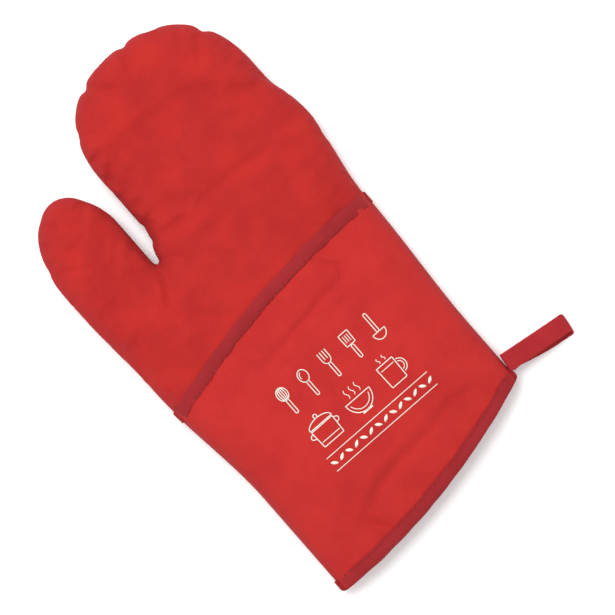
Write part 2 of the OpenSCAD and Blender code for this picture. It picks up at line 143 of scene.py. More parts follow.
def near_x(y):
    """x of the seam on the thumb's side at height y."""
    return along([(CUFF_Y / 2, -CUFF_HALF), (ROOT[1], ROOT[0]), (KNUCKLE_Y, -KNUCKLE_HALF)], y)


def far_x(y):
    """x of the seam on the far side at height y."""
    return along([(CUFF_Y / 2, CUFF_HALF), (WRIST_Y, WRIST_HALF), (KNUCKLE_Y, KNUCKLE_HALF),
                  (TIP_FAR[1], FINGER_FAR_X)], y)


def notch_x(y):
    """x of the finger lobe's seam beside the thumb at height y."""
    return mix(NOTCH[0] + NOTCH_R, LOBE_NEAR_X, ease((y - NOTCH[1]) / NOTCH_RUN))


def hem_y(x):
    """Height of the cuff's mouth under x: a slanted chord with a shallow bow below it."""
    k = x / CUFF_HALF
    return CUFF_Y + HEM_SLANT / 2 * k - HEM_BOW * (1 - k * k)


def pocket_y(s):
    """Height of the pocket's edge at share s of the way across the cuff."""
    return mix(POCKET_NEAR_Y, POCKET_FAR_Y, s) + POCKET_BOW * 4 * s * (1 - s)


# %% [markdown]
# The outline is one line of points, evenly spaced, that starts below the mouth on the far side,
# goes round the fingers and the thumb, and ends below the mouth on the near side. Gathered
# stitches pull short dents into the fingertips of a real mitt, so the outline gets them too.

# %% The outline
def quarter(centre, a, b, power, start, finish, count=60):
    """A quarter of a rounded end: x = a cos^(2/p), y = b sin^(2/p), about its centre."""
    g = np.radians(np.linspace(start, finish, count))
    c = np.maximum(np.cos(g), 0) ** (2 / power)
    s = np.maximum(np.sin(g), 0) ** (2 / power)
    return np.stack([centre[0] + a * c, centre[1] + b * s], axis=1)


def resample(line, step):
    """The same line with points every step millimetres, and their distances along it."""
    length = np.concatenate([[0], np.cumsum(np.linalg.norm(np.diff(line, axis=0), axis=1))])
    at = np.linspace(0, length[-1], int(length[-1] / step) + 1)
    return np.stack([np.interp(at, length, line[:, k]) for k in (0, 1)], axis=1), at


def outward(line):
    """Unit normals of a line, to the right of its direction."""
    step = np.gradient(line, axis=0)
    step /= np.linalg.norm(step, axis=1)[:, None]
    return np.stack([step[:, 1], -step[:, 0]], axis=1)


# The outline starts and ends this far below the mouth
BELOW = 20.0
thumb_in_x = NOTCH[0] - NOTCH_R
rise_far = np.linspace(HEM_FAR_Y - BELOW, TIP_FAR[1], 200)
fall_near = np.linspace(TIP_NEAR[1], NOTCH[1], 80)
rise_thumb = np.linspace(NOTCH[1], THUMB_IN[1], 20)
fall_thumb = np.linspace(THUMB_OUT[1], HEM_NEAR_Y - BELOW, 200)
notch_angle = np.radians(np.linspace(0, -180, 30))
rough_outline = np.concatenate([
    np.stack([far_x(rise_far), rise_far], axis=1),
    quarter(TIP_FAR, FINGER_FAR_X - TIP_X, TIP_ROUND_FAR, TIP_POWER, 0, 90)[1:],
    quarter(TIP_NEAR, LOBE_NEAR_X - TIP_X, TIP_ROUND_NEAR, TIP_POWER, 90, 0)[1:],
    np.stack([notch_x(fall_near), fall_near], axis=1)[1:],
    (NOTCH + NOTCH_R * np.stack([np.cos(notch_angle), np.sin(notch_angle)], axis=1))[1:],
    np.stack([np.full(len(rise_thumb), thumb_in_x), rise_thumb], axis=1)[1:],
    quarter(THUMB_IN, thumb_in_x - THUMB_IN[0], THUMB_ROUND_IN, 2, 0, 90)[1:],
    quarter(THUMB_OUT, -KNUCKLE_HALF - THUMB_OUT[0], THUMB_ROUND_OUT, 2, 90, 0)[1:],
    np.stack([near_x(fall_thumb), fall_thumb], axis=1)[1:],
])
OUTLINE_STEP = 1.4
outline, outline_at = resample(rough_outline, OUTLINE_STEP)


def place_on_outline(x, y):
    """Distance along the outline of the point nearest to (x, y)."""
    return outline_at[np.argmin(np.hypot(outline[:, 0] - x, outline[:, 1] - y))]


# Dents: where, how deep and how wide, in millimetres
DENTS = [(33, 202, 1.5, 3.2), (-1, 199, 1.9, 3.0), (76, 178, 1.7, 4.0), (52, 199, 0.7, 6),
         (-22, 178, 0.7, 5), (-30, 112, 1.0, 1.8), (-32, 103, 1.1, 1.5), (-83, 128, 0.5, 5),
         (-72, 154, 0.6, 5), (-45, 147, 0.5, 5), (88, 128, 0.6, 7), (84, -18, 0.6, 9),
         (-84, -22, 0.6, 9), (90, 84, 0.5, 6)]
dent = sum(
    depth * np.exp(-(((outline_at - place_on_outline(x, y)) / width) ** 2))
    for x, y, depth, width in DENTS)
outline = outline - outward(outline) * dent[:, None]
print(f"outline: {len(outline)} points, {outline_at[-1]:.0f} mm round")


# %% [markdown]
# ## The rule of the padding
# From the seam the pad rises along a quarter of an ellipse to a flat middle. Every layer follows
# this one rule at its own depth, so the shell, batting and lining nest without touching. The
# rule needs each point's distance from the seam, which is measured to all pieces of the outline
# at once, a few thousand points at a time.

# %% Distance from the seam and the height of a layer
# The pad's rise at the mouth, the length over which it grows, and its round beside the seam
MOUTH_RISE = 6.0
PAD_TAPER = 60.0
ROUND = 30.0
# How far the back is lifted at the mouth, to leave room for the binding under it
HEM_LIFT = 1.35
# The batting's thickness, squeezed at the mouth and full some way above it
BATTING_HEM_T = 2.0
BATTING_T = 5.0
BATTING_TAPER = 35.0


def from_seam(points):
    """Distance of each point from the outline, and how far along the outline it is nearest."""
    starts = outline[:-1]
    steps = np.diff(outline, axis=0)
    square = (steps ** 2).sum(axis=1)
    distances = []
    places = []
    for block in np.array_split(points, max(1, len(points) // 2500)):
        offset = block[:, None, :] - starts[None]
        k = np.clip((offset * steps).sum(axis=2) / square, 0, 1)
        gap = np.linalg.norm(offset - k[:, :, None] * steps, axis=2)
        best = gap.argmin(axis=1)
        row = np.arange(len(block))
        distances.append(gap[row, best])
        places.append(outline_at[best] + k[row, best] * OUTLINE_STEP)
    return np.concatenate(distances), np.concatenate(places)


def above_hem(points):
    """How far each point is above the cuff's mouth."""
    return points[:, 1] - hem_y(points[:, 0])


def swell(d, r):
    """Share of the full height at distance d: a quarter ellipse over a round of radius r."""
    return np.sqrt(1 - np.clip(1 - d / r, 0, 1) ** 2)


def height(w, face):
    """Full height of a face above or below the seam, at a distance w above the mouth."""
    if face == FRONT:
        return mix(MOUTH_RISE, PAD_RISE, ease(w / PAD_TAPER))
    return SEAM_Z - HEM_LIFT * (1 - ease((w - HEM_W) / BATTING_TAPER))


def batting_at(w):
    """Thickness of the batting, squeezed by the binding near the mouth."""
    return mix(BATTING_HEM_T, BATTING_T, ease(w / BATTING_TAPER))


def layer_z(points, t, face):
    """Height of the layer at depth t inside the shell's outer face."""
    d, _ = from_seam(points)
    return SEAM_Z + face * (height(above_hem(points), face) - t) * swell(d - t, ROUND - t)


# %% [markdown]
# ## A triangle net over the pattern
# The outline has a deep notch, so a plain rectangle of quads would be stretched and pinched in
# it. A Delaunay net of even triangles fits any outline, and it also bends and buckles equally
# well in all directions in a cloth simulation. Rings of points just inside the seam follow the
# steep edge of the pad, and an even lattice fills the middle. The line where the thumb bends is
# an edge of the net, so that the thumb can become its own piece.

# %% The net
# Lattice points keep this far from the bend, and the shell starts this far above the mouth
BEND_GAP = 2.0
SHELL_START = 0.95


def inset_outline(t, low):
    """The seam line moved t inwards, from low above the mouth, without the points that come too
    close to another part."""
    line, _ = resample(outline, OUTLINE_STEP if t < 1 else 3.0)
    line = line - outward(line) * t
    d, _ = from_seam(line)
    line = line[d > t - 0.05 - 0.01 * t] if t > 0 else line
    return line[above_hem(line) > low]


def triangle_net(t, rings, spacing, low=SHELL_START):
    """Points, triangles and which points are on the seam, for a net t inside the seam that starts
    low above the mouth."""
    rim = inset_outline(t, low)
    low_far = rim[0]
    low_near = rim[-1]
    x = np.linspace(low_near[0], low_far[0], int((low_far[0] - low_near[0]) / spacing) + 1)
    mouth = np.stack([x, mix(low_near[1] - hem_y(x[0]), low_far[1] - hem_y(x[-1]),
                             np.linspace(0, 1, len(x))) + hem_y(x)], axis=1)[1:-1]
    angle = math.atan2(BEND[1], BEND[0]) - math.pi
    inner = NOTCH + (NOTCH_R + t) * np.array([math.cos(angle), math.sin(angle)])
    outer = ROOT + BEND * (t / BEND[0])
    at_inner = np.linalg.norm(rim - inner, axis=1).argmin()
    at_outer = np.linalg.norm(rim - outer, axis=1).argmin()
    count = int(np.linalg.norm(inner - outer) / spacing)
    bend_line = mix(rim[at_outer], rim[at_inner], np.linspace(0, 1, count + 1)[1:-1, None])
    row = spacing * math.sqrt(3) / 2
    gx, gy = np.meshgrid(np.arange(-95, 96, spacing), np.arange(-140, 205, row))
    gx = gx + spacing / 2 * (np.arange(len(gy))[:, None] % 2)
    lattice = np.stack([gx.ravel(), gy.ravel()], axis=1)
    reach = t + (rings[-1] if rings else 0) + spacing * 0.7
    inside = np.concatenate([lattice[from_seam(lattice)[0] > reach],
                             *[inset_outline(t + ring, low) for ring in rings]])
    off_bend = np.abs((inside - rim[at_outer]) @ ACROSS_BEND) > BEND_GAP
    on_thumb_side = inside[:, 0] < NOTCH[0] + NOTCH_R
    inside = inside[off_bend | ~on_thumb_side]
    inside = inside[above_hem(inside) > low + spacing * 0.6]
    edge = np.concatenate([rim, mouth])
    points = np.concatenate([edge, bend_line, inside])
    first = len(edge)
    chain = [int(at_outer), *range(first, first + len(bend_line)), int(at_inner)]
    made = geometry.delaunay_2d_cdt(
        [Vector(p) for p in points], list(zip(chain[:-1], chain[1:])),
        [list(range(len(edge)))], 1, 1e-7)
    flat = np.array([tuple(v) for v in made[0]])
    triangles = np.array(made[2])
    seam = np.zeros(len(flat), bool)
    rim_ids = set(range(len(rim)))
    seam[[k for k, old in enumerate(made[3]) if rim_ids & set(old)]] = True
    used, renumbered = np.unique(triangles, return_inverse=True)
    return flat[used], renumbered.reshape(-1, 3), seam[used]


def on_thumb(points):
    """True for points past the thumb's bend, on the thumb's side of the notch."""
    return ((points - ROOT) @ ACROSS_BEND > 0) & (points[:, 0] < NOTCH[0])


SHELL_RINGS = (0.15, 1.4, 3.4, 6.0)
flat_net, flat_faces, on_seam = triangle_net(0.0, SHELL_RINGS, 3.4)
print(f"net: {len(flat_net)} points, {len(flat_faces)} triangles, {on_seam.sum()} on the seam")


# %% [markdown]
# ## Small helpers for meshes
# Every piece is built as arrays of points in millimetres and lists of faces, and put into a
# mesh in metres in one go. A grid of points gives its faces by counting alone.

# %% Mesh helpers
def make_piece(name, points, faces, material, flat=False):
    """An object with these points, in millimetres, and these faces."""
    mesh = bpy.data.meshes.new(name)
    listed = faces.tolist() if isinstance(faces, np.ndarray) else faces
    mesh.from_pydata((np.asarray(points) * MM).tolist(), [], listed)
    mesh.polygons.foreach_set("use_smooth", np.full(len(mesh.polygons), not flat))
    mesh.validate()
    mesh.update()
    piece = bpy.data.objects.new(name, mesh)
    bpy.context.scene.collection.objects.link(piece)
    if material is not None:
        mesh.materials.append(material)
    return piece


def grid_faces(rows, columns, round_rows=False, round_columns=False):
    """Quads of a grid of rows by columns of points; a round direction joins its last to its
    first."""
    j = np.arange(rows if round_rows else rows - 1)[:, None]
    i = np.arange(columns if round_columns else columns - 1)[None]
    next_j = (j + 1) % rows
    next_i = (i + 1) % columns
    quads = [j * columns + i, j * columns + next_i, next_j * columns + next_i, next_j * columns + i]
    return np.stack([np.broadcast_to(q, (j.size, i.size)).ravel() for q in quads], axis=1)


def points_of(mesh):
    """The mesh's points as an array in millimetres."""
    co = np.empty(len(mesh.vertices) * 3, np.float32)
    mesh.vertices.foreach_get("co", co)
    return co.reshape(-1, 3).astype(float) / MM


def set_points(mesh, points):
    """Moves the mesh's points to these places, in millimetres."""
    mesh.vertices.foreach_set("co", (np.asarray(points) * MM).astype(np.float32).ravel())
    mesh.update()


def finish_modifiers(piece):
    """Turns the piece's modifiers into its mesh."""
    deps = bpy.context.evaluated_depsgraph_get()
    mesh = bpy.data.meshes.new_from_object(piece.evaluated_get(deps))
    piece.modifiers.clear()
    piece.data = mesh
    return piece


# %% [markdown]
# ## Cotton
# Plain-weave cotton is matt, with threads that pass over and under each other, faint slubs and
# a soft fuzz that lightens it at grazing angles. Two crossed waves multiplied together give the
# over-and-under relief, noise at two sizes gives the uneven dye, and the shader's sheen gives
# the fuzz. All of it reads Object coordinates, so it doesn't depend on how a piece was made.
# Near the seams the padded cloth rounds away from the light, and that shade is painted into the
# colour: pieces carry a point value that says how near a seam they are, and the colour follows it
# towards a duller, darker red.

# %% Cotton material
def add_node(tree, kind, values=(), **settings):
    """A node of this kind with its settings, and (input, value) pairs for its sockets."""
    made = tree.nodes.new(kind)
    for key, value in settings.items():
        setattr(made, key, value)
    for socket, value in values:
        made.inputs[socket].default_value = value
    return made


def cotton(name, dark, light, thread=0.62, relief=0.05, sheen=0.17, slant=0.0, blotch=38.0,
           seam_shade_colour=None):
    """A woven cotton: dark and light are its dye's two ends, thread its pitch in millimetres; the
    optional last colour is painted in as shade near the seams.
    """
    material = bpy.data.materials.new(name)
    material.use_nodes = True
    tree = material.node_tree
    link = tree.links.new
    shader = tree.nodes["Principled BSDF"]
    shader.inputs["Specular IOR Level"].default_value = 0.2
    shader.inputs["Sheen Weight"].default_value = sheen
    shader.inputs["Sheen Roughness"].default_value = 0.55
    shader.inputs["Sheen Tint"].default_value = (*light, 1)
    where = add_node(tree, "ShaderNodeTexCoord")
    turned = add_node(tree, "ShaderNodeMapping", [("Rotation", (0, 0, slant))])
    link(where.outputs["Object"], turned.inputs["Vector"])
    bands = math.pi / 10 / (2 * thread * MM)
    threads = []
    for direction in ("X", "Y"):
        wave = add_node(tree, "ShaderNodeTexWave", [("Scale", bands), ("Distortion", 0.6),
                        ("Detail", 1.0), ("Detail Scale", 0.35)], bands_direction=direction)
        link(turned.outputs["Vector"], wave.inputs["Vector"])
        centred = add_node(tree, "ShaderNodeMath", [(1, 0.5)], operation="SUBTRACT")
        link(wave.outputs["Fac"], centred.inputs[0])
        threads.append(centred)
    weave = add_node(tree, "ShaderNodeMath", operation="MULTIPLY")
    link(threads[0].outputs[0], weave.inputs[0])
    link(threads[1].outputs[0], weave.inputs[1])
    dye = add_node(tree, "ShaderNodeTexNoise", [("Scale", blotch), ("Detail", 3.0),
                   ("Roughness", 0.6)])
    slub = add_node(tree, "ShaderNodeTexNoise", [("Scale", 900.0), ("Detail", 2.0)])
    for noise in (dye, slub):
        link(turned.outputs["Vector"], noise.inputs["Vector"])
    even = add_node(tree, "ShaderNodeMapRange", [(1, 0.36), (2, 0.64)])
    link(dye.outputs["Fac"], even.inputs["Value"])
    speckle = add_node(tree, "ShaderNodeMapRange", [(1, 0.25), (2, 0.75)])
    link(slub.outputs["Fac"], speckle.inputs["Value"])
    shade = add_node(tree, "ShaderNodeMix", [(0, 0.35)], data_type="FLOAT")
    link(even.outputs["Result"], shade.inputs[2])
    link(speckle.outputs["Result"], shade.inputs[3])
    colour = add_node(tree, "ShaderNodeMix", [(6, (*dark, 1)), (7, (*light, 1))],
                      data_type="RGBA")
    link(shade.outputs[0], colour.inputs[0])
    top = colour
    # Painted shade: by the point value, the colour is mixed towards a darker red near the seams
    if seam_shade_colour is not None:
        near = add_node(tree, "ShaderNodeAttribute", attribute_name="seam_shade_share")
        top = add_node(tree, "ShaderNodeMix", [(7, (*seam_shade_colour, 1))], data_type="RGBA")
        link(near.outputs["Fac"], top.inputs[0])
        link(colour.outputs[2], top.inputs[6])
    link(top.outputs[2], shader.inputs["Base Color"])
    rough = add_node(tree, "ShaderNodeMapRange", [(3, 0.74), (4, 0.92)])
    link(slub.outputs["Fac"], rough.inputs["Value"])
    link(rough.outputs["Result"], shader.inputs["Roughness"])
    raised = add_node(tree, "ShaderNodeMath", [(1, 0.25)], operation="MULTIPLY_ADD")
    link(slub.outputs["Fac"], raised.inputs[0])
    link(weave.outputs[0], raised.inputs[2])
    bump = add_node(tree, "ShaderNodeBump", [("Strength", 0.7), ("Distance", relief * MM * 10)])
    link(raised.outputs[0], bump.inputs["Height"])
    link(bump.outputs["Normal"], shader.inputs["Normal"])
    return material


RED_DARK = (0.31, 0.0102, 0.0098)
RED_LIGHT = (0.405, 0.0152, 0.0104)
# The darker red painted in as shade along the seams of the shell and the panel, where the cloth rounds
# away from the light
RED_SEAM_SHADE = (0.30, 0.0142, 0.017)
shell_cotton = cotton("shell_cotton", RED_DARK, RED_LIGHT, seam_shade_colour=RED_SEAM_SHADE)
panel_cotton = cotton("panel_cotton", (0.36, 0.013, 0.0125), (0.435, 0.019, 0.0145), seam_shade_colour=RED_SEAM_SHADE)
binding_cotton = cotton("binding_cotton", (0.235, 0.0100, 0.0130), (0.285, 0.0152, 0.0188), thread=0.7,
                        relief=0.07, slant=0.4)
lining_cotton = cotton("lining_cotton", (0.66, 0.58, 0.46), (0.80, 0.74, 0.63), thread=0.8,
                       sheen=0.2)
batting_fleece = cotton("batting_fleece", (0.78, 0.76, 0.71), (0.90, 0.88, 0.84), thread=1.6,
                        relief=0.2, sheen=0.6)
print("cotton materials made")

# %% [markdown]
# ## The stuffed shell
# The shell is two pieces of cotton sewn together round the edge and filled with batting. The
# net is laid out twice, as front and back, welded along the seam. A cloth simulation then
# presses it outwards while its fabric is let out a little, which buckles it softly as real
# stuffing does. The seam and the mouth are held, the movement is capped so that the shell
# stays where its solids are, and the result becomes the mesh before anything else is added.

# %% Two faces, welded along the seam
def both_faces(flat, triangles, seam, t):
    """Front points, then the back's points that aren't on the seam, and faces for both."""
    count = len(flat)
    back_id = np.where(seam, np.arange(count), count + np.cumsum(~seam) - 1)
    front = np.column_stack([flat, layer_z(flat, t, FRONT)])
    back = np.column_stack([flat, layer_z(flat, t, BACK)])[~seam]
    faces = np.concatenate([triangles, back_id[triangles][:, ::-1]])
    return np.concatenate([front, back]), faces


shell_points, shell_faces = both_faces(flat_net, flat_faces, on_seam, 0.0)
shell_seam = np.concatenate([on_seam, np.zeros(len(shell_points) - len(on_seam), bool)])
shell = make_piece("mitt_hand", shell_points, shell_faces, shell_cotton)


# %% Cloth under pressure
FRAMES = 20


def stuff(piece, held, pressure, let_out, cap_out, cap_in):
    """Runs the cloth for a few frames and keeps its movement, along each point's normal at most
    cap_out outwards and cap_in inwards. held is how firmly each point is pinned."""
    before = points_of(piece.data)
    normals = np.empty(len(before) * 3, np.float32)
    piece.data.vertices.foreach_get("normal", normals)
    normals = normals.reshape(-1, 3)
    pins = piece.vertex_groups.new(name="held")
    for level in np.unique(held)[1:]:
        pins.add(np.flatnonzero(held == level).tolist(), float(level), "REPLACE")
    cloth = piece.modifiers.new("stuffing", "CLOTH")
    cloth.settings.quality = 5
    cloth.settings.mass = 0.3
    cloth.settings.tension_stiffness = 12
    cloth.settings.compression_stiffness = 12
    cloth.settings.shear_stiffness = 4
    cloth.settings.bending_stiffness = 0.4
    cloth.settings.use_pressure = True
    cloth.settings.uniform_pressure_force = pressure
    cloth.settings.shrink_min = -let_out
    cloth.settings.vertex_group_mass = "held"
    cloth.settings.effector_weights.gravity = 0
    cloth.point_cache.frame_start = 1
    cloth.point_cache.frame_end = FRAMES
    for moment in range(1, FRAMES + 1):
        bpy.context.scene.frame_set(moment)
    deps = bpy.context.evaluated_depsgraph_get()
    after = points_of(piece.evaluated_get(deps).data)
    piece.modifiers.clear()
    piece.vertex_groups.clear()
    bpy.context.scene.frame_set(1)
    move = after - before
    out = (move * normals).sum(axis=1)
    kept = cap_out * np.tanh(np.maximum(out, 0) / cap_out) - cap_in * np.tanh(
        np.maximum(-out, 0) / cap_in)
    set_points(piece.data, before + normals * kept[:, None])
    print(f"{piece.name}: moved {out.min():.2f} to {out.max():.2f} mm, "
          f"kept {kept.min():.2f} to {kept.max():.2f} mm")


near_mouth = above_hem(shell_points[:, :2]) < 2.5
held = np.where(shell_seam | near_mouth, 1.0, 0.0)
stuff(shell, held, 4.0, 0.03, 2.5, 1.0)

# %% [markdown]
# ## Seam, puckers and creases on the shell
# The swollen shell still lacks what makes it look sewn. Subdividing first gives enough points,
# with the seam kept as a crease line. Puckers are ripples whose phase runs along the seam and
# whose height dies away inwards. Creases are short valleys along a path: a narrow groove with a
# wider hollow round it, where the stitches pull or the thumb folds. The cloth under the pocket
# lies flat, and the back lies on the table.

# %% Subdivide with the seam creased
def smooth_once(piece, creased):
    """One subdivision; creased says which of the mesh's edges stay sharp."""
    crease = piece.data.attributes.new("crease_edge", "FLOAT", "EDGE")
    crease.data.foreach_set("value", creased.astype(np.float32))
    finer = piece.modifiers.new("finer", "SUBSURF")
    finer.levels = 1
    finer.render_levels = 1
    return finish_modifiers(piece)


thumb_face = on_thumb(shell_points[shell_faces].mean(axis=1)[:, :2])
shell.data.polygons.foreach_set("material_index", thumb_face.astype(np.int32))
shell.data.materials.append(shell_cotton)
edge_ends = np.empty(len(shell.data.edges) * 2, np.int32)
shell.data.edges.foreach_get("vertices", edge_ends)
edge_ends = edge_ends.reshape(-1, 2)
smooth_once(shell, shell_seam[edge_ends].all(axis=1) * 0.8)
print("shell:", len(shell.data.vertices), "points after subdivision")


# %% Ripples and valleys
def ripple(at, seed, shortest, longest, waves=9):
    """A sum of sines of mixed wavelengths along a line, between about -1 and 1."""
    rng = np.random.default_rng(seed)
    lengths = rng.uniform(shortest, longest, waves)
    phases = rng.uniform(0, 2 * math.pi, waves)
    total = np.sin(2 * math.pi * np.asarray(at)[..., None] / lengths + phases).sum(axis=-1)
    return total / math.sqrt(waves) / 1.4


def valley(points, path, width, depth, lip=0.35):
    """Depth of a crease along a path, a Gaussian across it that fades at both ends, with a low
    lip beside it."""
    path = np.array(path, float)
    starts = path[:-1]
    steps = np.diff(path, axis=0)
    lengths = np.linalg.norm(steps, axis=1)
    offset = points[:, None, :] - starts[None]
    k = np.clip((offset * steps).sum(axis=2) / lengths ** 2, 0, 1)
    gap = np.linalg.norm(offset - k[:, :, None] * steps, axis=2)
    best = gap.argmin(axis=1)
    row = np.arange(len(points))
    share = (np.concatenate([[0], np.cumsum(lengths)])[best] + k[row, best] * lengths[best])
    share = share / lengths.sum()
    side = (steps[best, 0] * offset[row, best, 1] - steps[best, 1] * offset[row, best, 0])
    side = side / lengths[best]
    fade = np.sqrt(np.clip(np.sin(math.pi * (0.06 + 0.88 * share)), 0, 1))
    groove = np.exp(-((gap[row, best] / width) ** 2))
    beside = lip * np.exp(-(((side - 1.9 * width) / width) ** 2)) * (gap[row, best] < 4 * width)
    return depth * fade * (groove - beside)


# Creases in the hand: path, width and depth, in millimetres
HAND_CREASES = [
    ([(-36.5, 91), (-39, 83), (-44, 74), (-48, 66)], 0.9, 2.2),
    ([(-36.5, 92), (-41, 79), (-50, 60)], 4.5, 1.6),
    ([(-33, 97), (-27, 101), (-18, 102)], 2.2, 0.9),
    ([(-39, 93), (-45, 92), (-52, 96)], 2.0, 0.6),
    ([(-28.5, 109), (-24, 113), (-18, 118)], 1.2, 1.0),
    ([(-28, 130), (-24, 135), (-19, 140)], 1.2, 0.9),
    ([(-28, 142), (-22, 150), (-11, 160)], 1.7, 1.1),
    ([(32, 203), (29, 192), (24, 182)], 2.4, 1.5),
    ([(-1, 200), (6, 191), (14, 183)], 2.4, 1.7),
    ([(76, 179), (68, 172), (61, 163)], 2.6, 1.5),
    ([(52, 199), (48, 190)], 2.4, 1.0),
    ([(-22, 178), (-13, 172)], 2.2, 1.1),
    ([(-31, 162), (-20, 161)], 2.0, 0.8),
    ([(87, 130), (76, 132), (66, 136)], 3.0, 0.9),
    ([(90, 104), (78, 103)], 3.0, 0.8),
    ([(-88, 124), (-78, 121), (-70, 115)], 2.2, 0.9),
    ([(-73, 155), (-68, 145)], 2.2, 0.9),
    ([(-45, 147), (-52, 138)], 2.0, 0.9),
    ([(-38.5, 116), (-49, 113), (-56, 106)], 2.4, 1.0),
    ([(-88, 60), (-74, 63), (-60, 72)], 4.0, 0.9),
    ([(20, 62), (44, 74), (70, 78)], 8.0, 0.7),
    ([(-10, 92), (6, 78), (16, 64)], 7.0, 0.8),
]
BACK_CREASES = [
    ([(-36.5, 91), (-42, 80), (-48, 70)], 1.2, 1.4),
    ([(-85, -60), (-40, -52), (10, -60)], 7.0, 0.8),
    ([(88, 60), (50, 70), (20, 90)], 8.0, 0.8),
    ([(-30, 150), (0, 158), (30, 150)], 7.0, 0.6),
]


def pad_details(points):
    """How far the shell sinks at each point, in millimetres, front and back in turn."""
    flat = points[:, :2]
    d, at = from_seam(flat)
    near = np.exp(-d / 9.0) * (1 - np.exp(-d / 1.2))
    skew = d * 0.35
    front = 0.85 * near * ripple(at + skew, 11, 11, 27) + 0.35 * near * ripple(at - skew, 12, 6, 10)
    back = 0.95 * near * ripple(at - skew, 13, 11, 27) + 0.35 * near * ripple(at + skew, 14, 6, 10)
    for path, width, depth in HAND_CREASES:
        front = front + valley(flat, path, width, depth) * (1 - np.exp(-d / 1.0))
    for path, width, depth in BACK_CREASES:
        back = back + valley(flat, path, width, depth) * (1 - np.exp(-d / 1.0))
    return front, back, d, at


# %% Move the shell's points
def across_cuff(points):
    """Share of the way from the near seam to the far seam."""
    near = near_x(points[:, 1])
    return np.clip((points[:, 0] - near) / (far_x(points[:, 1]) - near), 0, 1)


points = points_of(shell.data)
front_sink, back_sink, seam_d, seam_at = pad_details(points)
is_front = points[:, 2] > SEAM_Z + 0.05
is_back = points[:, 2] < SEAM_Z - 0.05
points[:, 2] -= np.where(is_front, front_sink, np.where(is_back, -back_sink, 0))
wobble = 0.45 * ripple(seam_at, 21, 16, 40) * np.exp(-seam_d / 3.0)
points[:, 2] += wobble
under_pocket = ease((pocket_y(across_cuff(points)) + 2 - points[:, 1]) / 12)
plain = layer_z(points[:, :2], 0.0, FRONT) - 0.1
flattened = mix(points[:, 2], np.minimum(points[:, 2], plain), under_pocket)
points[:, 2] = np.where(is_front, flattened, points[:, 2])
# Points that would come lower than this are eased towards the table without passing it
SOFT = 0.6
eased = SOFT * np.exp(np.minimum(points[:, 2], SOFT) / SOFT - 1)
points[:, 2] = np.where(points[:, 2] < SOFT, eased, points[:, 2])
set_points(shell.data, points)
print(f"shell: x {points[:, 0].min():.1f} to {points[:, 0].max():.1f}, "
      f"z {points[:, 2].min():.2f} to {points[:, 2].max():.1f} mm")

# %% [markdown]
# The thumb and the fingers move by different joints, and a piece can bend across only one, so
# the shell is divided along the thumb's bend into two meshes that share their border. Each
# keeps the normals of the undivided shell, so no line shows where they meet.

# %% Divide the shell into hand and thumb
def seam_shade_values(piece, reach):
    """Stores how near each point is to the seam, from 1 at the seam to 0 beyond its reach, as the
    share of painted shade there.
    """
    d, _ = from_seam(points_of(piece.data)[:, :2])
    values = piece.data.attributes.new("seam_shade_share", "FLOAT", "POINT")
    values.data.foreach_set("value", (0.85 * np.exp(-d / reach)).astype(np.float32))


def divide(piece, other_name, material):
    """Moves the faces with material index 1 to a piece of their own."""
    mesh = piece.data
    places = points_of(mesh)
    normals = np.empty(len(mesh.vertices) * 3, np.float32)
    mesh.vertices.foreach_get("normal", normals)
    normals = normals.reshape(-1, 3)
    marks = np.empty(len(mesh.polygons), np.int32)
    mesh.polygons.foreach_get("material_index", marks)
    corners = np.empty(len(mesh.loops), np.int32)
    mesh.loops.foreach_get("vertex_index", corners)
    faces = corners.reshape(len(mesh.polygons), -1)
    made = []
    for mark, name in ((0, piece.name), (1, other_name)):
        used, renumbered = np.unique(faces[marks == mark], return_inverse=True)
        part = make_piece(name + "_part", places[used],
                          renumbered.reshape(-1, faces.shape[1]), material)
        part.data.normals_split_custom_set_from_vertices(normals[used])
        made.append(part)
    bpy.data.objects.remove(piece)
    made[0].name = made[0].name.removesuffix("_part")
    made[1].name = made[1].name.removesuffix("_part")
    return made


hand_shell, thumb_shell = divide(shell, "mitt_thumb", shell_cotton)
# Painted shade along the seams of the hand and the thumb: each point stores how much of the darker red
# it gets
for part in (hand_shell, thumb_shell):
    seam_shade_values(part, 5.0)
bend_over = Vector(ACROSS_BEND.tolist() + [0.0])
# Lengths of the finger bend and the thumb bend, in millimetres; they only set the bends' end points
# below
FINGER_BEND = 26
THUMB_BEND = 20
knuckle_start = (0.03, KNUCKLE_Y * MM, 0.012)
knuckle_end = (0.03, (KNUCKLE_Y + FINGER_BEND) * MM, 0.012)
thumb_start = (ROOT[0] * MM, ROOT[1] * MM, 0.012)
thumb_end = tuple(Vector(thumb_start) + bend_over * THUMB_BEND * MM)
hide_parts("palm_front_shell", "palm_back_shell", "finger_front_shell",
            "finger_back_shell")
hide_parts("thumb_front_shell", "thumb_back_shell")
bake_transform(hand_shell)
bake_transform(thumb_shell)
print("hand:", len(hand_shell.data.polygons), "faces; thumb:", len(thumb_shell.data.polygons))

# %% [markdown]
# ## Batting and lining
# The batting is a loose felt between two fabrics and is never seen, but it is a piece of the
# real mitt, so each half is a closed pad between two depths of the padding rule. The lining is
# an inner pouch that shows only at the mouth. Both use coarser nets of the same pattern.

# %% Batting pads
def closed_pad(name, flat, triangles, top, bottom):
    """A closed pad between two heights over the same net: the two layers and a wall round the
    rim, whose edges are those that only one triangle has."""
    count = len(flat)
    ends = np.concatenate([triangles[:, [0, 1]], triangles[:, [1, 2]], triangles[:, [2, 0]]])
    key = np.sort(ends, axis=1) @ np.array([count, 1])
    _, first, times = np.unique(key, return_index=True, return_counts=True)
    rim = ends[first[times == 1]]
    wall = np.column_stack([rim[:, 1], rim[:, 0], rim[:, 0] + count, rim[:, 1] + count])
    points = np.concatenate([np.column_stack([flat, top]), np.column_stack([flat, bottom])])
    faces = triangles.tolist() + (triangles[:, ::-1] + count).tolist() + wall.tolist()
    return make_piece(name, points, faces, batting_fleece)


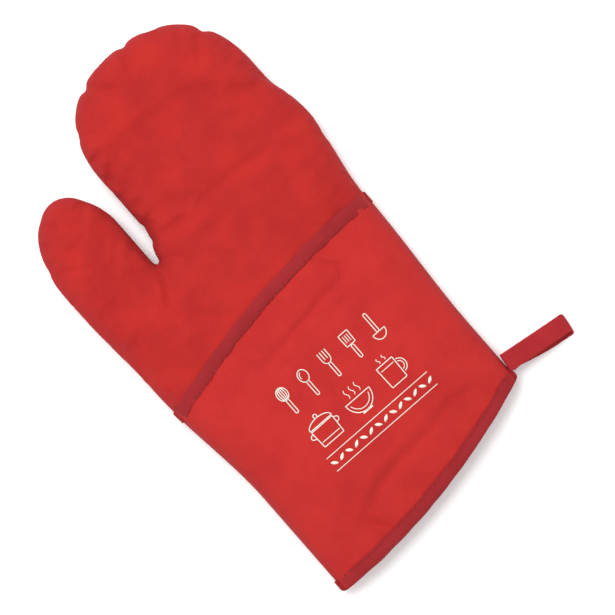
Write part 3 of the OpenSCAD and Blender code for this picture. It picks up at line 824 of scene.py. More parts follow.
# Depth of the batting's top, and how far above the mouth it starts, inside the binding
BATTING_TOP = 3.2
BATTING_START = 3.0
THINNEST = 0.3
felt_flat, felt_faces, _ = triangle_net(BATTING_TOP, (), 6.5, BATTING_START)
felt_thumb = on_thumb(felt_flat[felt_faces].mean(axis=1))
for face, side in ((FRONT, "front"), (BACK, "back")):
    for chosen, part, body, start, end in (
            (~felt_thumb, "hand", "fingers", knuckle_start, knuckle_end),
            (felt_thumb, "thumb", "thumb", thumb_start, thumb_end)):
        used, renumbered = np.unique(felt_faces[chosen], return_inverse=True)
        flat = felt_flat[used]
        w = above_hem(flat)
        outer = layer_z(flat, BATTING_TOP, face)
        creases = HAND_CREASES if face == FRONT else BACK_CREASES
        for path, width, depth in creases:
            outer = outer - face * np.maximum(valley(flat, path, width + 4, depth), 0)
        inner = layer_z(flat, 0.9 + batting_at(w), face)
        outer = np.where(face * (outer - inner) < THINNEST, inner + THINNEST * face, outer)
        top, bottom = (outer, inner) if face == FRONT else (inner, outer)
        pad = closed_pad(f"batting_{part}_{side}", flat, renumbered.reshape(-1, 3), top, bottom)
        bones = ["palm", "finger"] if part == "hand" else ["thumb"]
        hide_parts(*[f"{bone}_{side}_batting" for bone in bones])
        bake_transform(pad)
print("batting: 4 pads,", len(felt_flat), "points in the net")

# %% Lining pouch
LINING_DEPTH = 6.0
LINING_START = 3.5
pouch_flat, pouch_faces, pouch_seam = triangle_net(LINING_DEPTH, (1.0,), 5.0, LINING_START)


def lining_z(flat, face):
    """Height of the lining's inner face, closer to the shell at the squeezed mouth."""
    return layer_z(flat, 1.0 + batting_at(above_hem(flat)), face)


count = len(pouch_flat)
back_id = np.where(pouch_seam, np.arange(count), count + np.cumsum(~pouch_seam) - 1)
pouch_points = np.concatenate([
    np.column_stack([pouch_flat, np.where(pouch_seam, SEAM_Z, lining_z(pouch_flat, FRONT))]),
    np.column_stack([pouch_flat, lining_z(pouch_flat, BACK)])[~pouch_seam]])
pouch_all = np.concatenate([pouch_faces, back_id[pouch_faces][:, ::-1]])
pouch = make_piece("lining_hand", pouch_points, pouch_all, lining_cotton)
pouch_thumb = on_thumb(pouch_points[pouch_all].mean(axis=1)[:, :2])
pouch.data.polygons.foreach_set("material_index", pouch_thumb.astype(np.int32))
lining_hand, lining_thumb = divide(pouch, "lining_thumb", lining_cotton)


def surface_area(mesh):
    """Sum of the mesh's faces, in square metres."""
    area = np.empty(len(mesh.polygons))
    mesh.polygons.foreach_get("area", area)
    return float(area.sum())


hand_area = surface_area(lining_hand.data)
thumb_area = surface_area(lining_thumb.data)
print(f"lining: hand {hand_area:.4f} m2, thumb {thumb_area:.4f} m2")
for part, bones, body, start, end in (
        (lining_hand, ("palm", "finger"), "fingers", knuckle_start, knuckle_end),
        (lining_thumb, ("thumb",), "thumb", thumb_start, thumb_end)):
    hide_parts(*[f"{bone}_{side}_lining" for bone in bones for side in ("front", "back")])
    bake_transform(part)

# %% [markdown]
# ## The pocket panel
# A second sheet of the same cotton lies over the front of the cuff, sewn in at both side seams
# and held by the two bindings. It is cut a little loose, so it stands in low folds. It is a grid
# from seam to seam and from mouth to pocket edge; its height is the padding rule a little above
# the shell, plus slack, folds and the puckers that its two stitch lines draw in.

# %% Panel surface
PANEL_LOW = 0.9
PANEL_T = 0.6
POCKET_W = 8.5
STITCH_IN = 7.2
STITCH_PITCH = 3.6

PANEL_FOLDS = [
    ([(34, 33), (37, 27), (45, 19), (41, 12)], 1.4, 1.1),
    ([(46, 18), (41, 12), (34, 11), (23, 10), (12, 7.5), (0, 6.5), (-11, 4), (-27, 3)], 3.0, 1.4),
    ([(44, 12), (20, 4), (-24, -2)], 7.5, 0.8),
    ([(46, 30), (44, 12), (30, -2)], 4.0, 0.7),
    ([(-34, -121), (-42, -106)], 1.4, 1.4),
    ([(-43, -106), (-25, -97), (-5, -93), (24, -91)], 3.6, 1.5),
    ([(-60, 10), (-48, -8), (-44, -30)], 6.0, 0.9),
    ([(70, -30), (62, -50), (64, -75)], 7.0, 0.9),
    ([(28, -90), (42, -86), (60, -90)], 2.8, 0.9),
    ([(-72, -20), (-66, -50), (-68, -80)], 6.0, 0.8),
    ([(50, -92), (48, -82), (43, -74)], 2.2, 0.9),
    ([(22, -109), (20, -98), (14, -90)], 2.2, 0.8),
    ([(-10, -116), (-12, -106)], 2.0, 0.7),
    ([(-62, -117), (-60, -104), (-54, -96)], 2.6, 0.8),
    ([(-40, 20), (-36, 10), (-28, 2)], 2.4, 0.8),
    ([(0, 33), (4, 22), (2, 14)], 2.2, 0.8),
    ([(62, 32), (64, 22), (60, 8)], 2.4, 0.8),
]


def hem_pucker(x):
    """Ripple that the hem's stitches draw, by place across the cuff."""
    return 0.30 * ripple(x, 31, 7, 13) + 0.16 * np.cos(2 * math.pi * x / STITCH_PITCH)


def pocket_pucker(x):
    """Ripple that the pocket's stitches draw, by place across the cuff."""
    return 0.34 * ripple(x, 33, 7, 13) + 0.16 * np.cos(2 * math.pi * x / STITCH_PITCH)


def cuff_place(s, y, t, face, tuck=0.0):
    """A point on the cuff at share s across, a height y and a depth t inside the shell. tuck
    draws the ends in towards the seam that holds them."""
    x = mix(near_x(y) + t + tuck, far_x(y) - t - tuck, s)
    shape = x.shape
    flat = np.stack([x.ravel(), np.broadcast_to(y, shape).ravel()], axis=1)
    t = np.broadcast_to(t, shape).ravel()
    d, _ = from_seam(flat)
    on_rim = (np.broadcast_to(s, shape).ravel() <= 0) | (np.broadcast_to(s, shape).ravel() >= 1)
    rise = (height(above_hem(flat), face) - t) * swell(np.where(t < 0, d, d - t), ROUND - t)
    z = SEAM_Z + face * np.where(on_rim, 0, rise)
    return np.stack([flat[:, 0], flat[:, 1], z], axis=1)


def panel_lift(flat):
    """How far the panel stands above its tight place: slack in the middle, less each fold, and
    puckers beside the two rows of stitches."""
    s = across_cuff(flat)
    low = above_hem(flat)
    high = pocket_y(s) - flat[:, 1]
    loose = ease((low - 6) / 26) * ease((high - 6) / 26) * ease(s / 0.16) * ease((1 - s) / 0.16)
    inner = ease((low - 5) / 5) * ease((high - 5) / 5) * ease(s / 0.04) * ease((1 - s) / 0.04)
    folds = sum(valley(flat, path, width, depth, 0.5) for path, width, depth in PANEL_FOLDS)
    lift = 1.6 * loose - folds * inner
    lift = lift + hem_pucker(flat[:, 0]) * np.exp(-np.abs(low - STITCH_IN) / 6.0) * inner
    lift = lift + pocket_pucker(flat[:, 0]) * np.exp(-np.abs(high - STITCH_IN) / 6.0) * inner
    side = np.exp(-np.minimum(s, 1 - s) * 160 / 7.0)
    lift = lift + 0.4 * side * inner * ripple(flat[:, 1], 35, 10, 22)
    return np.maximum(lift, -0.7)


PANEL_TUCK = 0.9
PANEL_ROWS = 120
PANEL_COLUMNS = 130
panel_s = np.linspace(0, 1, PANEL_COLUMNS)[None, :]
panel_v = np.linspace(0, 1, PANEL_ROWS)[:, None]
hem_x = mix(-CUFF_HALF, CUFF_HALF, panel_s)
panel_y = mix(hem_y(hem_x) + 1.2, pocket_y(panel_s) - 1.0, panel_v)
panel_points = cuff_place(panel_s, panel_y, np.full((1, 1), -(PANEL_LOW + PANEL_T / 2)), FRONT,
                          PANEL_TUCK)
panel_points[:, 2] += panel_lift(panel_points[:, :2])
panel = make_piece("pocket_panel_sheet", panel_points, grid_faces(PANEL_ROWS, PANEL_COLUMNS),
                   panel_cotton)
# Painted shade along the panel's seams, as on the shell
seam_shade_values(panel, 4.0)
wall = panel.modifiers.new("fabric", "SOLIDIFY")
wall.thickness = PANEL_T * MM
wall.offset = 0
finish_modifiers(panel)
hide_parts("pocket_panel")
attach(panel, "root")
print(f"panel: z up to {panel_points[:, 2].max():.1f} mm")

# %% [markdown]
# ## The printed motif
# The pocket carries a light cream print. Here it is a plain drawing of kitchen things: utensils
# above pans, over a border of leaves. Each line is a ribbon of ink: a path in the plane, widened
# to both sides, and laid on the panel by the same rule that shaped it, a tenth of a millimetre
# up. A leaf is a ribbon whose width swells and narrows.

# %% Drawing ink lines
INK = 0.6
DRAWN = []


def panel_top(flat):
    """Height of the panel's outer face over each point."""
    d, _ = from_seam(flat)
    rise = height(above_hem(flat), FRONT) + PANEL_LOW + PANEL_T / 2
    return SEAM_Z + rise * swell(d, ROUND + PANEL_LOW) + panel_lift(flat) + PANEL_T / 2


def ink(path, width=INK, closed=False):
    """Keeps a ribbon along a path for the print: its left and right edges lie half the width to
    the two sides, along the path's normals."""
    path = np.array(path, float)
    if closed:
        path = np.concatenate([path, path[:1]])
    step = np.linalg.norm(np.diff(path, axis=0), axis=1)
    length = np.concatenate([[0], np.cumsum(step)])
    at = np.linspace(0, length[-1], max(3, int(length[-1] / 0.55)))
    path = np.stack([np.interp(at, length, path[:, k]) for k in (0, 1)], axis=1)
    ring = np.concatenate([path[-2:-1], path, path[1:2]]) if closed else path
    ahead = np.gradient(ring, axis=0)
    ahead = ahead[1:-1] if closed else ahead
    ahead /= np.linalg.norm(ahead, axis=1)[:, None] + 1e-9
    normal = np.stack([-ahead[:, 1], ahead[:, 0]], axis=1)
    half = np.broadcast_to(np.asarray(width, float), len(path)) / 2 if np.ndim(width) == 0 \
        else np.interp(np.linspace(0, 1, len(path)), np.linspace(0, 1, len(width)), width) / 2
    DRAWN.append(np.stack([path + normal * half[:, None], path - normal * half[:, None]], axis=1))


def oval(x, y, a, b, start=0, finish=360):
    """Points of an oval about (x, y) from one angle to another."""
    g = np.radians(np.linspace(start, finish, 40))
    return np.stack([x + a * np.cos(g), y + b * np.sin(g)], axis=1)


def stadium(x, low, high, w):
    """Outline of an upright handle with rounded ends."""
    return np.concatenate([oval(x, high - w / 2, w / 2, w / 2, 0, 180),
                           oval(x, low + w / 2, w / 2, w / 2, 180, 360)])


def handle(x, low, high):
    """A utensil's handle with the ring it hangs by."""
    ink(stadium(x, low, high, 1.9), closed=True)
    ink(oval(x, low + 1.0, 0.25, 0.25), 0.4, closed=True)


# %% Utensils and pans
TOP_LOW, TOP_HIGH = -31.5, -13.0
x = -31.0
handle(x, TOP_LOW, -21.5)
for a in (3.5, 2.1, 0.7):
    ink(oval(x, -17.3, a, 4.3), closed=True)
x = -14.5
handle(x, TOP_LOW, -21.0)
ink(oval(x, -17.1, 3.2, 4.1), closed=True)
ink(oval(x, -17.1, 1.9, 2.8, 100, 200), 0.5)
x = 2.5
handle(x, TOP_LOW, -21.5)
ink(np.concatenate([[(x - 2.8, TOP_HIGH)], oval(x, -18.0, 2.8, 3.5, 180, 360),
                    [(x + 2.8, TOP_HIGH)]]))
for dx in (-0.95, 0.95):
    ink([(x + dx, TOP_HIGH), (x + dx, -18.6)])
x = 19.5
handle(x, TOP_LOW, -22.0)
ink([(x - 3.1, -21.6), (x - 3.4, TOP_HIGH - 0.3), (x + 3.4, TOP_HIGH - 0.3), (x + 3.1, -21.6)],
    closed=True)
for dx in (-1.5, 0, 1.5):
    ink([(x + dx, -15.0), (x + dx, -19.8)], 0.5)
x = 36.5
handle(x, -26.5, TOP_HIGH)
ink(oval(x, -26.6, 4.4, 4.9, 180, 360))
ink([(x - 4.6, -26.6), (x + 4.6, -26.6)])

PAN_LOW = -57.5
x = -25.0
ink([(x - 8, -46), (x - 7.4, PAN_LOW), (x + 7.4, PAN_LOW), (x + 8, -46)], closed=True)
ink(oval(x, -45.2, 8.3, 4.2, 0, 180), closed=True)
ink(oval(x, -39.7, 1.2, 1.2), closed=True)
for side in (-1, 1):
    ink(oval(x + side * 8, -49, 2.4, 1.7, 90 if side < 0 else -90, 270 if side < 0 else 90))
ink([(x - 6.6, -54.6), (x + 6.6, -54.6)], 0.5)
x = 1.5
ink(oval(x, -47.5, 9.0, 9.6, 180, 360))
ink([(x - 9.4, -47.5), (x + 9.4, -47.5)])
ink([(x - 3.6, PAN_LOW), (x + 3.6, PAN_LOW)], 0.9)
ink(oval(x, -47.5, 7.0, 7.4, 195, 345), 0.5)
wave = np.linspace(0, 2 * math.pi, 30)
for dx in (-4, 0, 4):
    ink(np.stack([x + dx + 0.7 * np.sin(wave), -45.6 + wave * 1.0], axis=1), 0.5)
x = 26.5
ink([(x - 6, -43), (x - 5.6, PAN_LOW), (x + 5.6, PAN_LOW), (x + 6, -43)], closed=True)
ink(oval(x + 6, -50, 4.6, 4.6, -80, 80))
ink(oval(x + 6, -50, 3.0, 3.0, -78, 78), 0.5)
ink([(x - 4.8, -46), (x + 4.8, -46)], 0.5)
for dx in (-2, 2):
    ink(np.stack([x + dx + 0.7 * np.sin(wave), -41.6 + wave * 0.55], axis=1), 0.5)

LEAF = 1.9 * np.sin(np.linspace(0, math.pi, 24)) ** 0.8 + 0.05
for k in range(14):
    x = -34.2 + k * 5.75
    tilt = math.radians(38 if k % 2 else -38)
    across_leaf = np.array([math.cos(tilt), math.sin(tilt)]) * 2.5
    centre = np.array([x, -68.2])
    ink([centre - across_leaf, centre, centre + across_leaf], LEAF)
ink([(-36.5, -63.4), (42.5, -63.4)], 0.5)
ink([(-36.5, -73.0), (42.5, -73.0)], 0.5)


# %% Lay the ink on the panel
# Screen-printing ink is cream, matt and a little uneven, and the weave shows through
print_ink = cotton("print_ink", (0.64, 0.61, 0.53), (0.72, 0.70, 0.62), relief=0.03, sheen=0.0)
ribbon_points = []
ribbon_faces = []
total = 0
for ribbon in DRAWN:
    ribbon_points.append(ribbon.reshape(-1, 2))
    ribbon_faces.append(grid_faces(len(ribbon), 2)[:, ::-1] + total)
    total += 2 * len(ribbon)
ink_flat = np.concatenate(ribbon_points)
INK_T = 0.08
ink_high = np.column_stack([ink_flat, panel_top(ink_flat) + 0.05 + INK_T])
motif = make_piece("printed_motif", ink_high, np.concatenate(ribbon_faces), print_ink)
body = motif.modifiers.new("film", "SOLIDIFY")
body.thickness = INK_T * MM
body.offset = -1
finish_modifiers(motif)
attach(motif, "root")
print("print:", len(DRAWN), "lines,", len(motif.data.polygons), "faces")

# %% [markdown]
# ## The folded bindings
# A binding is one strip of cotton folded lengthwise over an edge, so its two legs clasp it. The
# strip is a closed profile carried along the edge: down the outer leg, round the fold, up the
# inner leg, and back inside. One goes round the cuff's mouth as a ring, front and back. The
# other runs along the pocket's edge from seam to seam. The outer legs ripple with the sheet
# that they hold.

# %% Profile of a fold
LEG_POINTS = 9


def fold_profile(width, radius, thickness):
    """Three lists for a closed profile: height above the fold, share of the way from the outer
    leg to the inner one, and 1 for the strip's outside or 0 for its inside."""
    leg = np.linspace(width, radius, LEG_POINTS)
    turn = np.linspace(0, math.pi, 9)[1:-1]
    up = np.concatenate([leg, radius * (1 - np.sin(turn)), leg[::-1]])
    across = np.concatenate([np.zeros(LEG_POINTS), (1 - np.cos(turn)) / 2, np.ones(LEG_POINTS)])
    inside_up = np.maximum(up, thickness)[::-1]
    outside = np.concatenate([np.ones(len(up)), np.zeros(len(up))])
    return np.concatenate([up, inside_up]), np.concatenate([across, across[::-1]]), outside


def hem_over(s, y, face):
    """Depth of the hem binding's outer leg: over the panel in front, close to the shell behind."""
    if face == FRONT:
        return np.full(np.broadcast_shapes(s.shape, y.shape), -0.15 - PANEL_LOW - PANEL_T)
    x = mix(near_x(y), far_x(y), s)
    d, _ = from_seam(np.stack([x.ravel(), y.ravel()], axis=1))
    return -0.15 - (PANEL_LOW + PANEL_T) * (1 - swell(d, ROUND)).reshape(x.shape)


# %% Hem binding
HEM_T = 0.8
LINING_BACK = 1.75
HEM_FOLD = 2.6
HEM_STATIONS = 150
up, share, outside = fold_profile(HEM_W, HEM_FOLD, HEM_T)
hem_share = (1 - np.cos(math.pi * np.linspace(0, 1, HEM_STATIONS))) / 2
hem_share = 0.35 * hem_share + 0.65 * np.linspace(0, 1, HEM_STATIONS)
ring_parts = []
for face, shares in ((FRONT, hem_share[:-1]), (BACK, hem_share[:0:-1])):
    s = shares[:, None]
    base = hem_y(mix(-CUFF_HALF, CUFF_HALF, s))
    y = base + up[None] + 0 * s
    over = hem_over(s + 0 * y, y, face) - HEM_T * outside
    under = LINING_BACK + batting_at(y - base) + HEM_T * outside
    t = mix(over, under, share[None])
    x = mix(-CUFF_HALF, CUFF_HALF, s)
    placed = cuff_place(s, y, t, face, PANEL_TUCK * 0.6)
    shape = y.shape
    soft = ease(np.minimum(s, 1 - s) / 0.03)
    lift = hem_pucker(x) * np.exp(-np.abs(up - STITCH_IN) / 5.0)[None] * soft
    lift = lift - 0.30 * np.exp(-(((up - STITCH_IN) / 0.9) ** 2))[None] * soft
    lift = lift + 0.35 * ripple(x + 300 * (face == BACK), 37, 16, 38) * soft
    placed[:, 2] += face * (lift * (1 - 0.7 * share[None])).ravel()
    droop = 0.16 * ripple(x + 300 * (face == BACK), 39, 14, 40) * soft
    placed[:, 1] += (droop + 0 * y).ravel()
    ring_parts.append(placed)
hem_points = np.concatenate(ring_parts)
hem_points[:, 2] = np.maximum(hem_points[:, 2], 0.1)
hem_stations = len(hem_points) // len(up)
hem = make_piece("hem_binding_strip", hem_points,
                 grid_faces(hem_stations, len(up), round_rows=True, round_columns=True),
                 binding_cotton)
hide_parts("hem_binding")
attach(hem, "root")
print("hem binding:", hem_stations, "stations of", len(up), "points")

# %% Pocket binding
POCKET_T = 0.6
OVER_LEG = PANEL_LOW + PANEL_T + 0.15
POCKET_FOLD = 1.3
STRIP_STATIONS = 190
up, share, outside = fold_profile(POCKET_W, POCKET_FOLD, POCKET_T)
s = np.linspace(0, 1, STRIP_STATIONS)[:, None]
y = pocket_y(s) - up[None]
t = mix(-OVER_LEG - POCKET_T * outside, -(0.15 + POCKET_T) + POCKET_T * outside, share[None])
strip_points = cuff_place(s, y, t, FRONT, PANEL_TUCK)
x = mix(-CUFF_HALF, CUFF_HALF, s)
soft = ease(np.minimum(s, 1 - s) / 0.03)
lift = pocket_pucker(x) * np.exp(-np.abs(up - STITCH_IN) / 5.0)[None]
lift = lift - 0.28 * np.exp(-(((up - STITCH_IN) / 0.9) ** 2))[None]
lift = lift + 0.4 * (1 + ripple(x, 41, 16, 40)) * np.exp(-(((up - 3) / 3.5) ** 2))[None]
strip_points[:, 2] += (lift * soft * (1 - 0.85 * share[None])).ravel()
strip_points[:, 1] += (0.35 * soft * ripple(x, 43, 14, 40) + 0 * y).ravel()
quads = grid_faces(STRIP_STATIONS, len(up), round_columns=True)
first_cap = list(range(len(up)))
last_cap = [(STRIP_STATIONS - 1) * len(up) + k for k in first_cap][::-1]
pocket_strip = make_piece("pocket_binding_strip", strip_points,
                          quads.tolist() + [first_cap, last_cap], binding_cotton)
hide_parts("pocket_binding")
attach(pocket_strip, "root")
print("pocket binding:", STRIP_STATIONS, "stations")


# %% [markdown]
# ## Rows of stitches
# Each stitch is a short thread that lies on the fabric and dives into it at both ends. One small
# capsule with a few faces is repeated along a line of places, turned to follow it. Threads are
# a darker red than the cotton, with a little gloss.

# %% Thread material
def thread_material(name, colour):
    """Spun thread: fine slanted ridges from one wave, and a slight gloss."""
    material = bpy.data.materials.new(name)
    material.use_nodes = True
    tree = material.node_tree
    shader = tree.nodes["Principled BSDF"]
    shader.inputs["Roughness"].default_value = 0.6
    shader.inputs["Specular IOR Level"].default_value = 0.3
    where = add_node(tree, "ShaderNodeTexCoord")
    wave = add_node(tree, "ShaderNodeTexWave", [("Scale", 900.0), ("Distortion", 1.0)],
                    bands_direction="DIAGONAL")
    tree.links.new(where.outputs["Object"], wave.inputs["Vector"])
    tint = add_node(tree, "ShaderNodeMix", [(6, (*[0.75 * c for c in colour], 1)),
                    (7, (*colour, 1))], data_type="RGBA")
    tree.links.new(wave.outputs["Fac"], tint.inputs[0])
    tree.links.new(tint.outputs[2], shader.inputs["Base Color"])
    bump = add_node(tree, "ShaderNodeBump", [("Strength", 0.4), ("Distance", 0.0001)])
    tree.links.new(wave.outputs["Fac"], bump.inputs["Height"])
    tree.links.new(bump.outputs["Normal"], shader.inputs["Normal"])
    return material


sewing_thread = thread_material("sewing_thread", (0.25, 0.0125, 0.0155))


# %% Stitches
STITCH_LENGTH = 2.5
THREAD_R = 0.28
RINGS = 5
SPOKES = 6


def stitch_row(line, up_vector):
    """Points and faces of stitches along a line of places: ends narrow, middles arched. One
    stitch is a grid of rings along its length, placed by tangent, side and up directions."""
    length = np.concatenate([[0], np.cumsum(np.linalg.norm(np.diff(line, axis=0), axis=1))])
    count = int(length[-1] / STITCH_PITCH)
    at = (np.arange(count) + 0.5) * length[-1] / count
    centre = np.stack([np.interp(at, length, line[:, k]) for k in range(3)], axis=1)
    ahead = np.stack([np.interp(at + 0.8, length, line[:, k]) for k in range(3)], axis=1)
    behind = np.stack([np.interp(at - 0.8, length, line[:, k]) for k in range(3)], axis=1)
    along_line = ahead - behind
    along_line /= np.linalg.norm(along_line, axis=1)[:, None]
    up = np.broadcast_to(up_vector, along_line.shape)
    side = np.cross(up, along_line)
    side /= np.linalg.norm(side, axis=1)[:, None]
    up = np.cross(along_line, side)
    v = np.linspace(-1, 1, RINGS)[:, None]
    g = np.linspace(0, 2 * math.pi, SPOKES + 1)[None, :-1]
    radius = THREAD_R * (0.35 + 0.65 * np.sqrt(np.clip(1 - v ** 4, 0, 1)))
    lift = THREAD_R * (0.5 - 0.9 * v ** 2)
    a = (STITCH_LENGTH / 2 * v + 0 * g).ravel()
    b = (radius * np.cos(g)).ravel()
    c = (radius * np.sin(g) + lift).ravel()
    points = (centre[:, None] + along_line[:, None] * a[None, :, None]
              + side[:, None] * b[None, :, None] + up[:, None] * c[None, :, None])
    one = grid_faces(RINGS, SPOKES, round_columns=True)
    first = np.arange(count)[:, None] * RINGS * SPOKES
    faces = (first[:, None] + one[None]).reshape(-1, 4)
    spokes = np.arange(SPOKES)[None]
    caps = np.concatenate([first + spokes[:, ::-1], first + (RINGS - 1) * SPOKES + spokes])
    return points.reshape(-1, 3), faces, caps


def make_stitches(name, rows):
    """One piece from several rows of stitches."""
    places, quads, caps = [], [], []
    total = 0
    for line, up in rows:
        points, faces, ends = stitch_row(line, up)
        places.append(points)
        quads.extend((faces + total).tolist())
        caps.extend((ends + total).tolist())
        total += len(points)
    return make_piece(name, np.concatenate(places), quads + caps, sewing_thread)


def leg_line(rows, radius, free):
    """The line on a strip's outer leg where the stitches lie: at one height of its profile,
    less a free share of it at each end."""
    share_up = (POCKET_W - STITCH_IN) / (POCKET_W - radius) * (LEG_POINTS - 1)
    k = int(share_up)
    line = mix(rows[:, k], rows[:, k + 1], share_up - k)
    return line[int(free * len(line)):int((1 - free) * len(line))]


hem_rows = hem_points.reshape(hem_stations, -1, 3)
strip_rows = strip_points.reshape(STRIP_STATIONS, -1, 3)
upwards = np.array([0, 0, 1.0])
hem_stitches = make_stitches("hem_stitches", [
    (leg_line(hem_rows[:HEM_STATIONS - 1], HEM_FOLD, 0.02), upwards),
    (leg_line(hem_rows[HEM_STATIONS - 1:], HEM_FOLD, 0.02), -upwards)])
pocket_rows = [(leg_line(strip_rows, POCKET_FOLD, 0.015), upwards)]
pocket_stitches = make_stitches("pocket_stitches", pocket_rows)
for piece, node in ((hem_stitches, "hem_stitching"), (pocket_stitches, "pocket_stitching")):
    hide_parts(node)
    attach(piece, "root")
print("stitches:", len(hem_stitches.data.polygons) + len(pocket_stitches.data.polygons), "faces")

# %% [markdown]
# ## The hanging loop
# A length of woven tape is doubled and sewn into the far seam just above the hem. Its two legs leave
# the seam together, part a little and meet in a round turn. The tape is a flat rounded profile carried
# along that path. It swings on the seam; here it is one piece, drawn at one angle of that swing.

# %% Tape loop
loop_joint = [j for j in frame["joints"] if j["name"] == "loop_swing"][0]
PIVOT = np.array(loop_joint["pos_m"]) / MM
LEAN = math.radians(7.5)
DROOP = math.radians(13.77)
TAPE_W = 12.0
TAPE_T = 1.1
LOOP_LENGTH = 39.0
LOOP_RISE = 5.2


def loop_path(count):
    """The tape's middle line in its own plane: in from the seam, out along a teardrop whose two
    sides reach 39(1-cos g)/2 out and part by 5.2 sin g sqrt((1-cos g)/2), and back into the seam."""
    g = np.radians(np.linspace(22, 338, count))
    k = (1 - np.cos(g)) / 2
    drop = np.stack([LOOP_LENGTH * k, LOOP_RISE * np.sin(g) * np.sqrt(k)], axis=1)
    lead_in = np.stack([np.linspace(-7.3, drop[0, 0], 9)[:-1], np.full(8, 0.62)], axis=1)
    lead_out = lead_in[::-1] * [1, -1]
    return np.concatenate([lead_in, drop, lead_out])


path = loop_path(90)
step = np.gradient(path, axis=0)
step /= np.linalg.norm(step, axis=1)[:, None]
normal = np.stack([-step[:, 1], step[:, 0]], axis=1)
run = np.linspace(0, 1, len(path))
sideways = -2.6 * ease((run - 0.42) / 0.14) * ease((0.97 - run) / 0.3)
roll = 0.10 * np.sin(2 * math.pi * run)
g = np.linspace(0, 2 * math.pi, 21)[:-1]
across = TAPE_W / 2 * np.sign(np.cos(g)) * np.abs(np.cos(g)) ** 0.35
thick = TAPE_T / 2 * np.sign(np.sin(g)) * np.abs(np.sin(g)) ** 0.7
u = path[:, :1] + normal[:, :1] * (thick[None] + across[None] * roll[:, None])
v = path[:, 1:] + normal[:, 1:] * (thick[None] + across[None] * roll[:, None])
w = sideways[:, None] + across[None] + 0 * u
dropped_u = u * math.cos(DROOP) + v * math.sin(DROOP)
dropped_v = -u * math.sin(DROOP) + v * math.cos(DROOP)
loop_points = np.stack([
    PIVOT[0] + dropped_u * math.cos(LEAN) + w * math.sin(LEAN),
    PIVOT[1] - dropped_u * math.sin(LEAN) + w * math.cos(LEAN),
    PIVOT[2] + dropped_v], axis=2).reshape(-1, 3)
loop_points[:, 2] = np.maximum(loop_points[:, 2], 0.05)
quads = grid_faces(len(path), len(g), round_columns=True)
caps = [list(range(len(g)))[::-1], [(len(path) - 1) * len(g) + k for k in range(len(g))]]
tape_weave = cotton("tape_weave", (0.29, 0.0108, 0.0146), (0.36, 0.017, 0.0215), thread=0.9,
                    relief=0.09, slant=-0.105)
loop_tape = make_piece("loop_tape", loop_points, quads.tolist() + caps, tape_weave)
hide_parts("hanging_loop")
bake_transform(loop_tape)
print(f"loop: tip at x {loop_points[:, 0].max():.1f} mm, lowest {loop_points[:, 2].min():.2f} mm")

# %% [markdown]
# The tape's ends are held by a bar tack, a block of dense zigzag stitches on the seam. It is a
# low rounded pad whose top carries the ridges of the zigzag.

# %% Bar tack
tack_low, tack_high = (np.array(corner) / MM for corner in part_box("loop_bartack"))
tack_u = np.linspace(-1, 1, 15)[:, None]
tack_v = np.linspace(-1, 1, 61)[None, :]
edge_fall = (np.clip(1 - tack_u ** 6, 0, 1) * np.clip(1 - tack_v ** 12, 0, 1)) ** 0.5
zigzag = 0.16 * np.cos(2 * math.pi * (tack_v * 9 + 0.25 * tack_u))
middle = (tack_low + tack_high) / 2
half = (tack_high - tack_low) / 2
tack_x = middle[0] + half[0] * tack_u + 0 * tack_v
tack_y = middle[1] + half[1] * tack_v + 0 * tack_u
tack_rise = edge_fall * (half[2] + 0.25 + zigzag)
tack_top = np.stack([tack_x, tack_y, middle[2] + tack_rise], axis=2).reshape(-1, 3)
tack_under = np.stack([tack_x, tack_y, middle[2] - tack_rise], axis=2).reshape(-1, 3)
tack_quads = grid_faces(15, 61)
tack = make_piece("loop_bartack_stitches", np.concatenate([tack_top, tack_under]),
                  np.concatenate([tack_quads, tack_quads[:, ::-1] + len(tack_top)]), sewing_thread)
tack.modifiers.new("join", "WELD").merge_threshold = 0.02 * MM
finish_modifiers(tack)
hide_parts("loop_bartack")
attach(tack, "root")
print("bar tack:", len(tack.data.polygons), "faces")

# %% [markdown]
# ## Stage
# A pale floor, one large soft light from above and a bright surrounding give the even light of a
# product picture. The camera looks straight down through a long lens, turned so that the
# fingertips point up and to the left.

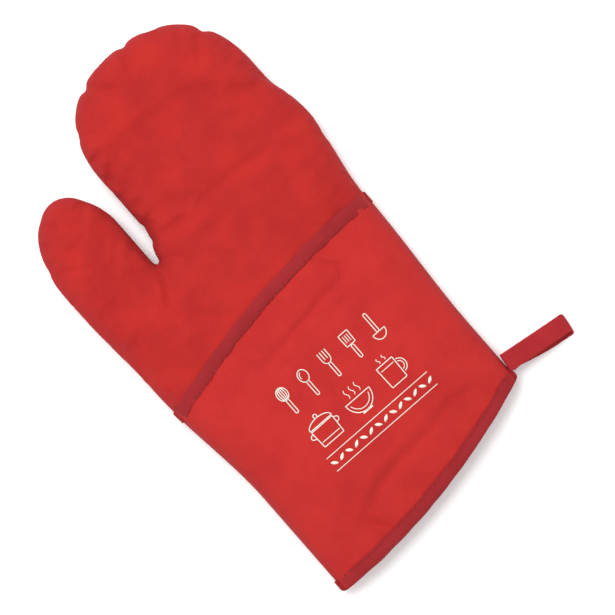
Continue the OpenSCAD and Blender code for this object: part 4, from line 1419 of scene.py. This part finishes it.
# %% Floor, light and camera
floor_mesh = bpy.data.meshes.new("floor")
floor_mesh.from_pydata([(-4, -4, 0), (4, -4, 0), (4, 4, 0), (-4, 4, 0)], [], [(0, 1, 2, 3)])
floor = bpy.data.objects.new("floor", floor_mesh)
bpy.context.scene.collection.objects.link(floor)
paper = bpy.data.materials.new("paper")
paper.use_nodes = True
paper.node_tree.nodes["Principled BSDF"].inputs["Base Color"].default_value = (0.93, 0.93, 0.93, 1)
paper.node_tree.nodes["Principled BSDF"].inputs["Roughness"].default_value = 0.95
paper.node_tree.nodes["Principled BSDF"].inputs["Specular IOR Level"].default_value = 0.1
floor_mesh.materials.append(paper)

CENTRE = np.array([14.1, 11.7, 12.0]) * MM
UP = np.array([0.657, 0.753, 0.0])
RIGHT = np.array([0.753, -0.657, 0.0])


def area_light(name, place, size, power):
    """A square lamp at this place that faces the mitt."""
    lamp = bpy.data.lights.new(name, "AREA")
    lamp.size = size
    lamp.energy = power
    made = bpy.data.objects.new(name, lamp)
    made.location = Vector(place)
    aim = Vector(CENTRE) - Vector(place)
    made.rotation_euler = aim.to_track_quat("-Z", "Y").to_euler()
    bpy.context.scene.collection.objects.link(made)
    return made


area_light("key", CENTRE + 0.65 * UP - 0.65 * RIGHT + np.array([0, 0, 1.9]), 1.1, 32)
surround = bpy.data.worlds.new("surround")
surround.use_nodes = True
surround.node_tree.nodes["Background"].inputs["Color"].default_value = (1, 1, 1, 1)
surround.node_tree.nodes["Background"].inputs["Strength"].default_value = 1.0
bpy.context.scene.world = surround
bpy.context.scene.view_settings.view_transform = "Standard"

CAMERA_UP = 2.0
FRAME_WIDTH = 0.3675
lens = bpy.data.cameras.new("camera")
lens.sensor_width = 36
lens.lens = 36 * CAMERA_UP / FRAME_WIDTH
lens.clip_end = 20
camera = bpy.data.objects.new("camera", lens)
camera.location = Vector(CENTRE) + Vector((0, 0, CAMERA_UP))
camera.rotation_euler = (0, 0, math.atan2(RIGHT[1], RIGHT[0]))
bpy.context.scene.collection.objects.link(camera)
bpy.context.scene.camera = camera
print(f"lens {lens.lens:.0f} mm, {CAMERA_UP} m above the mitt")
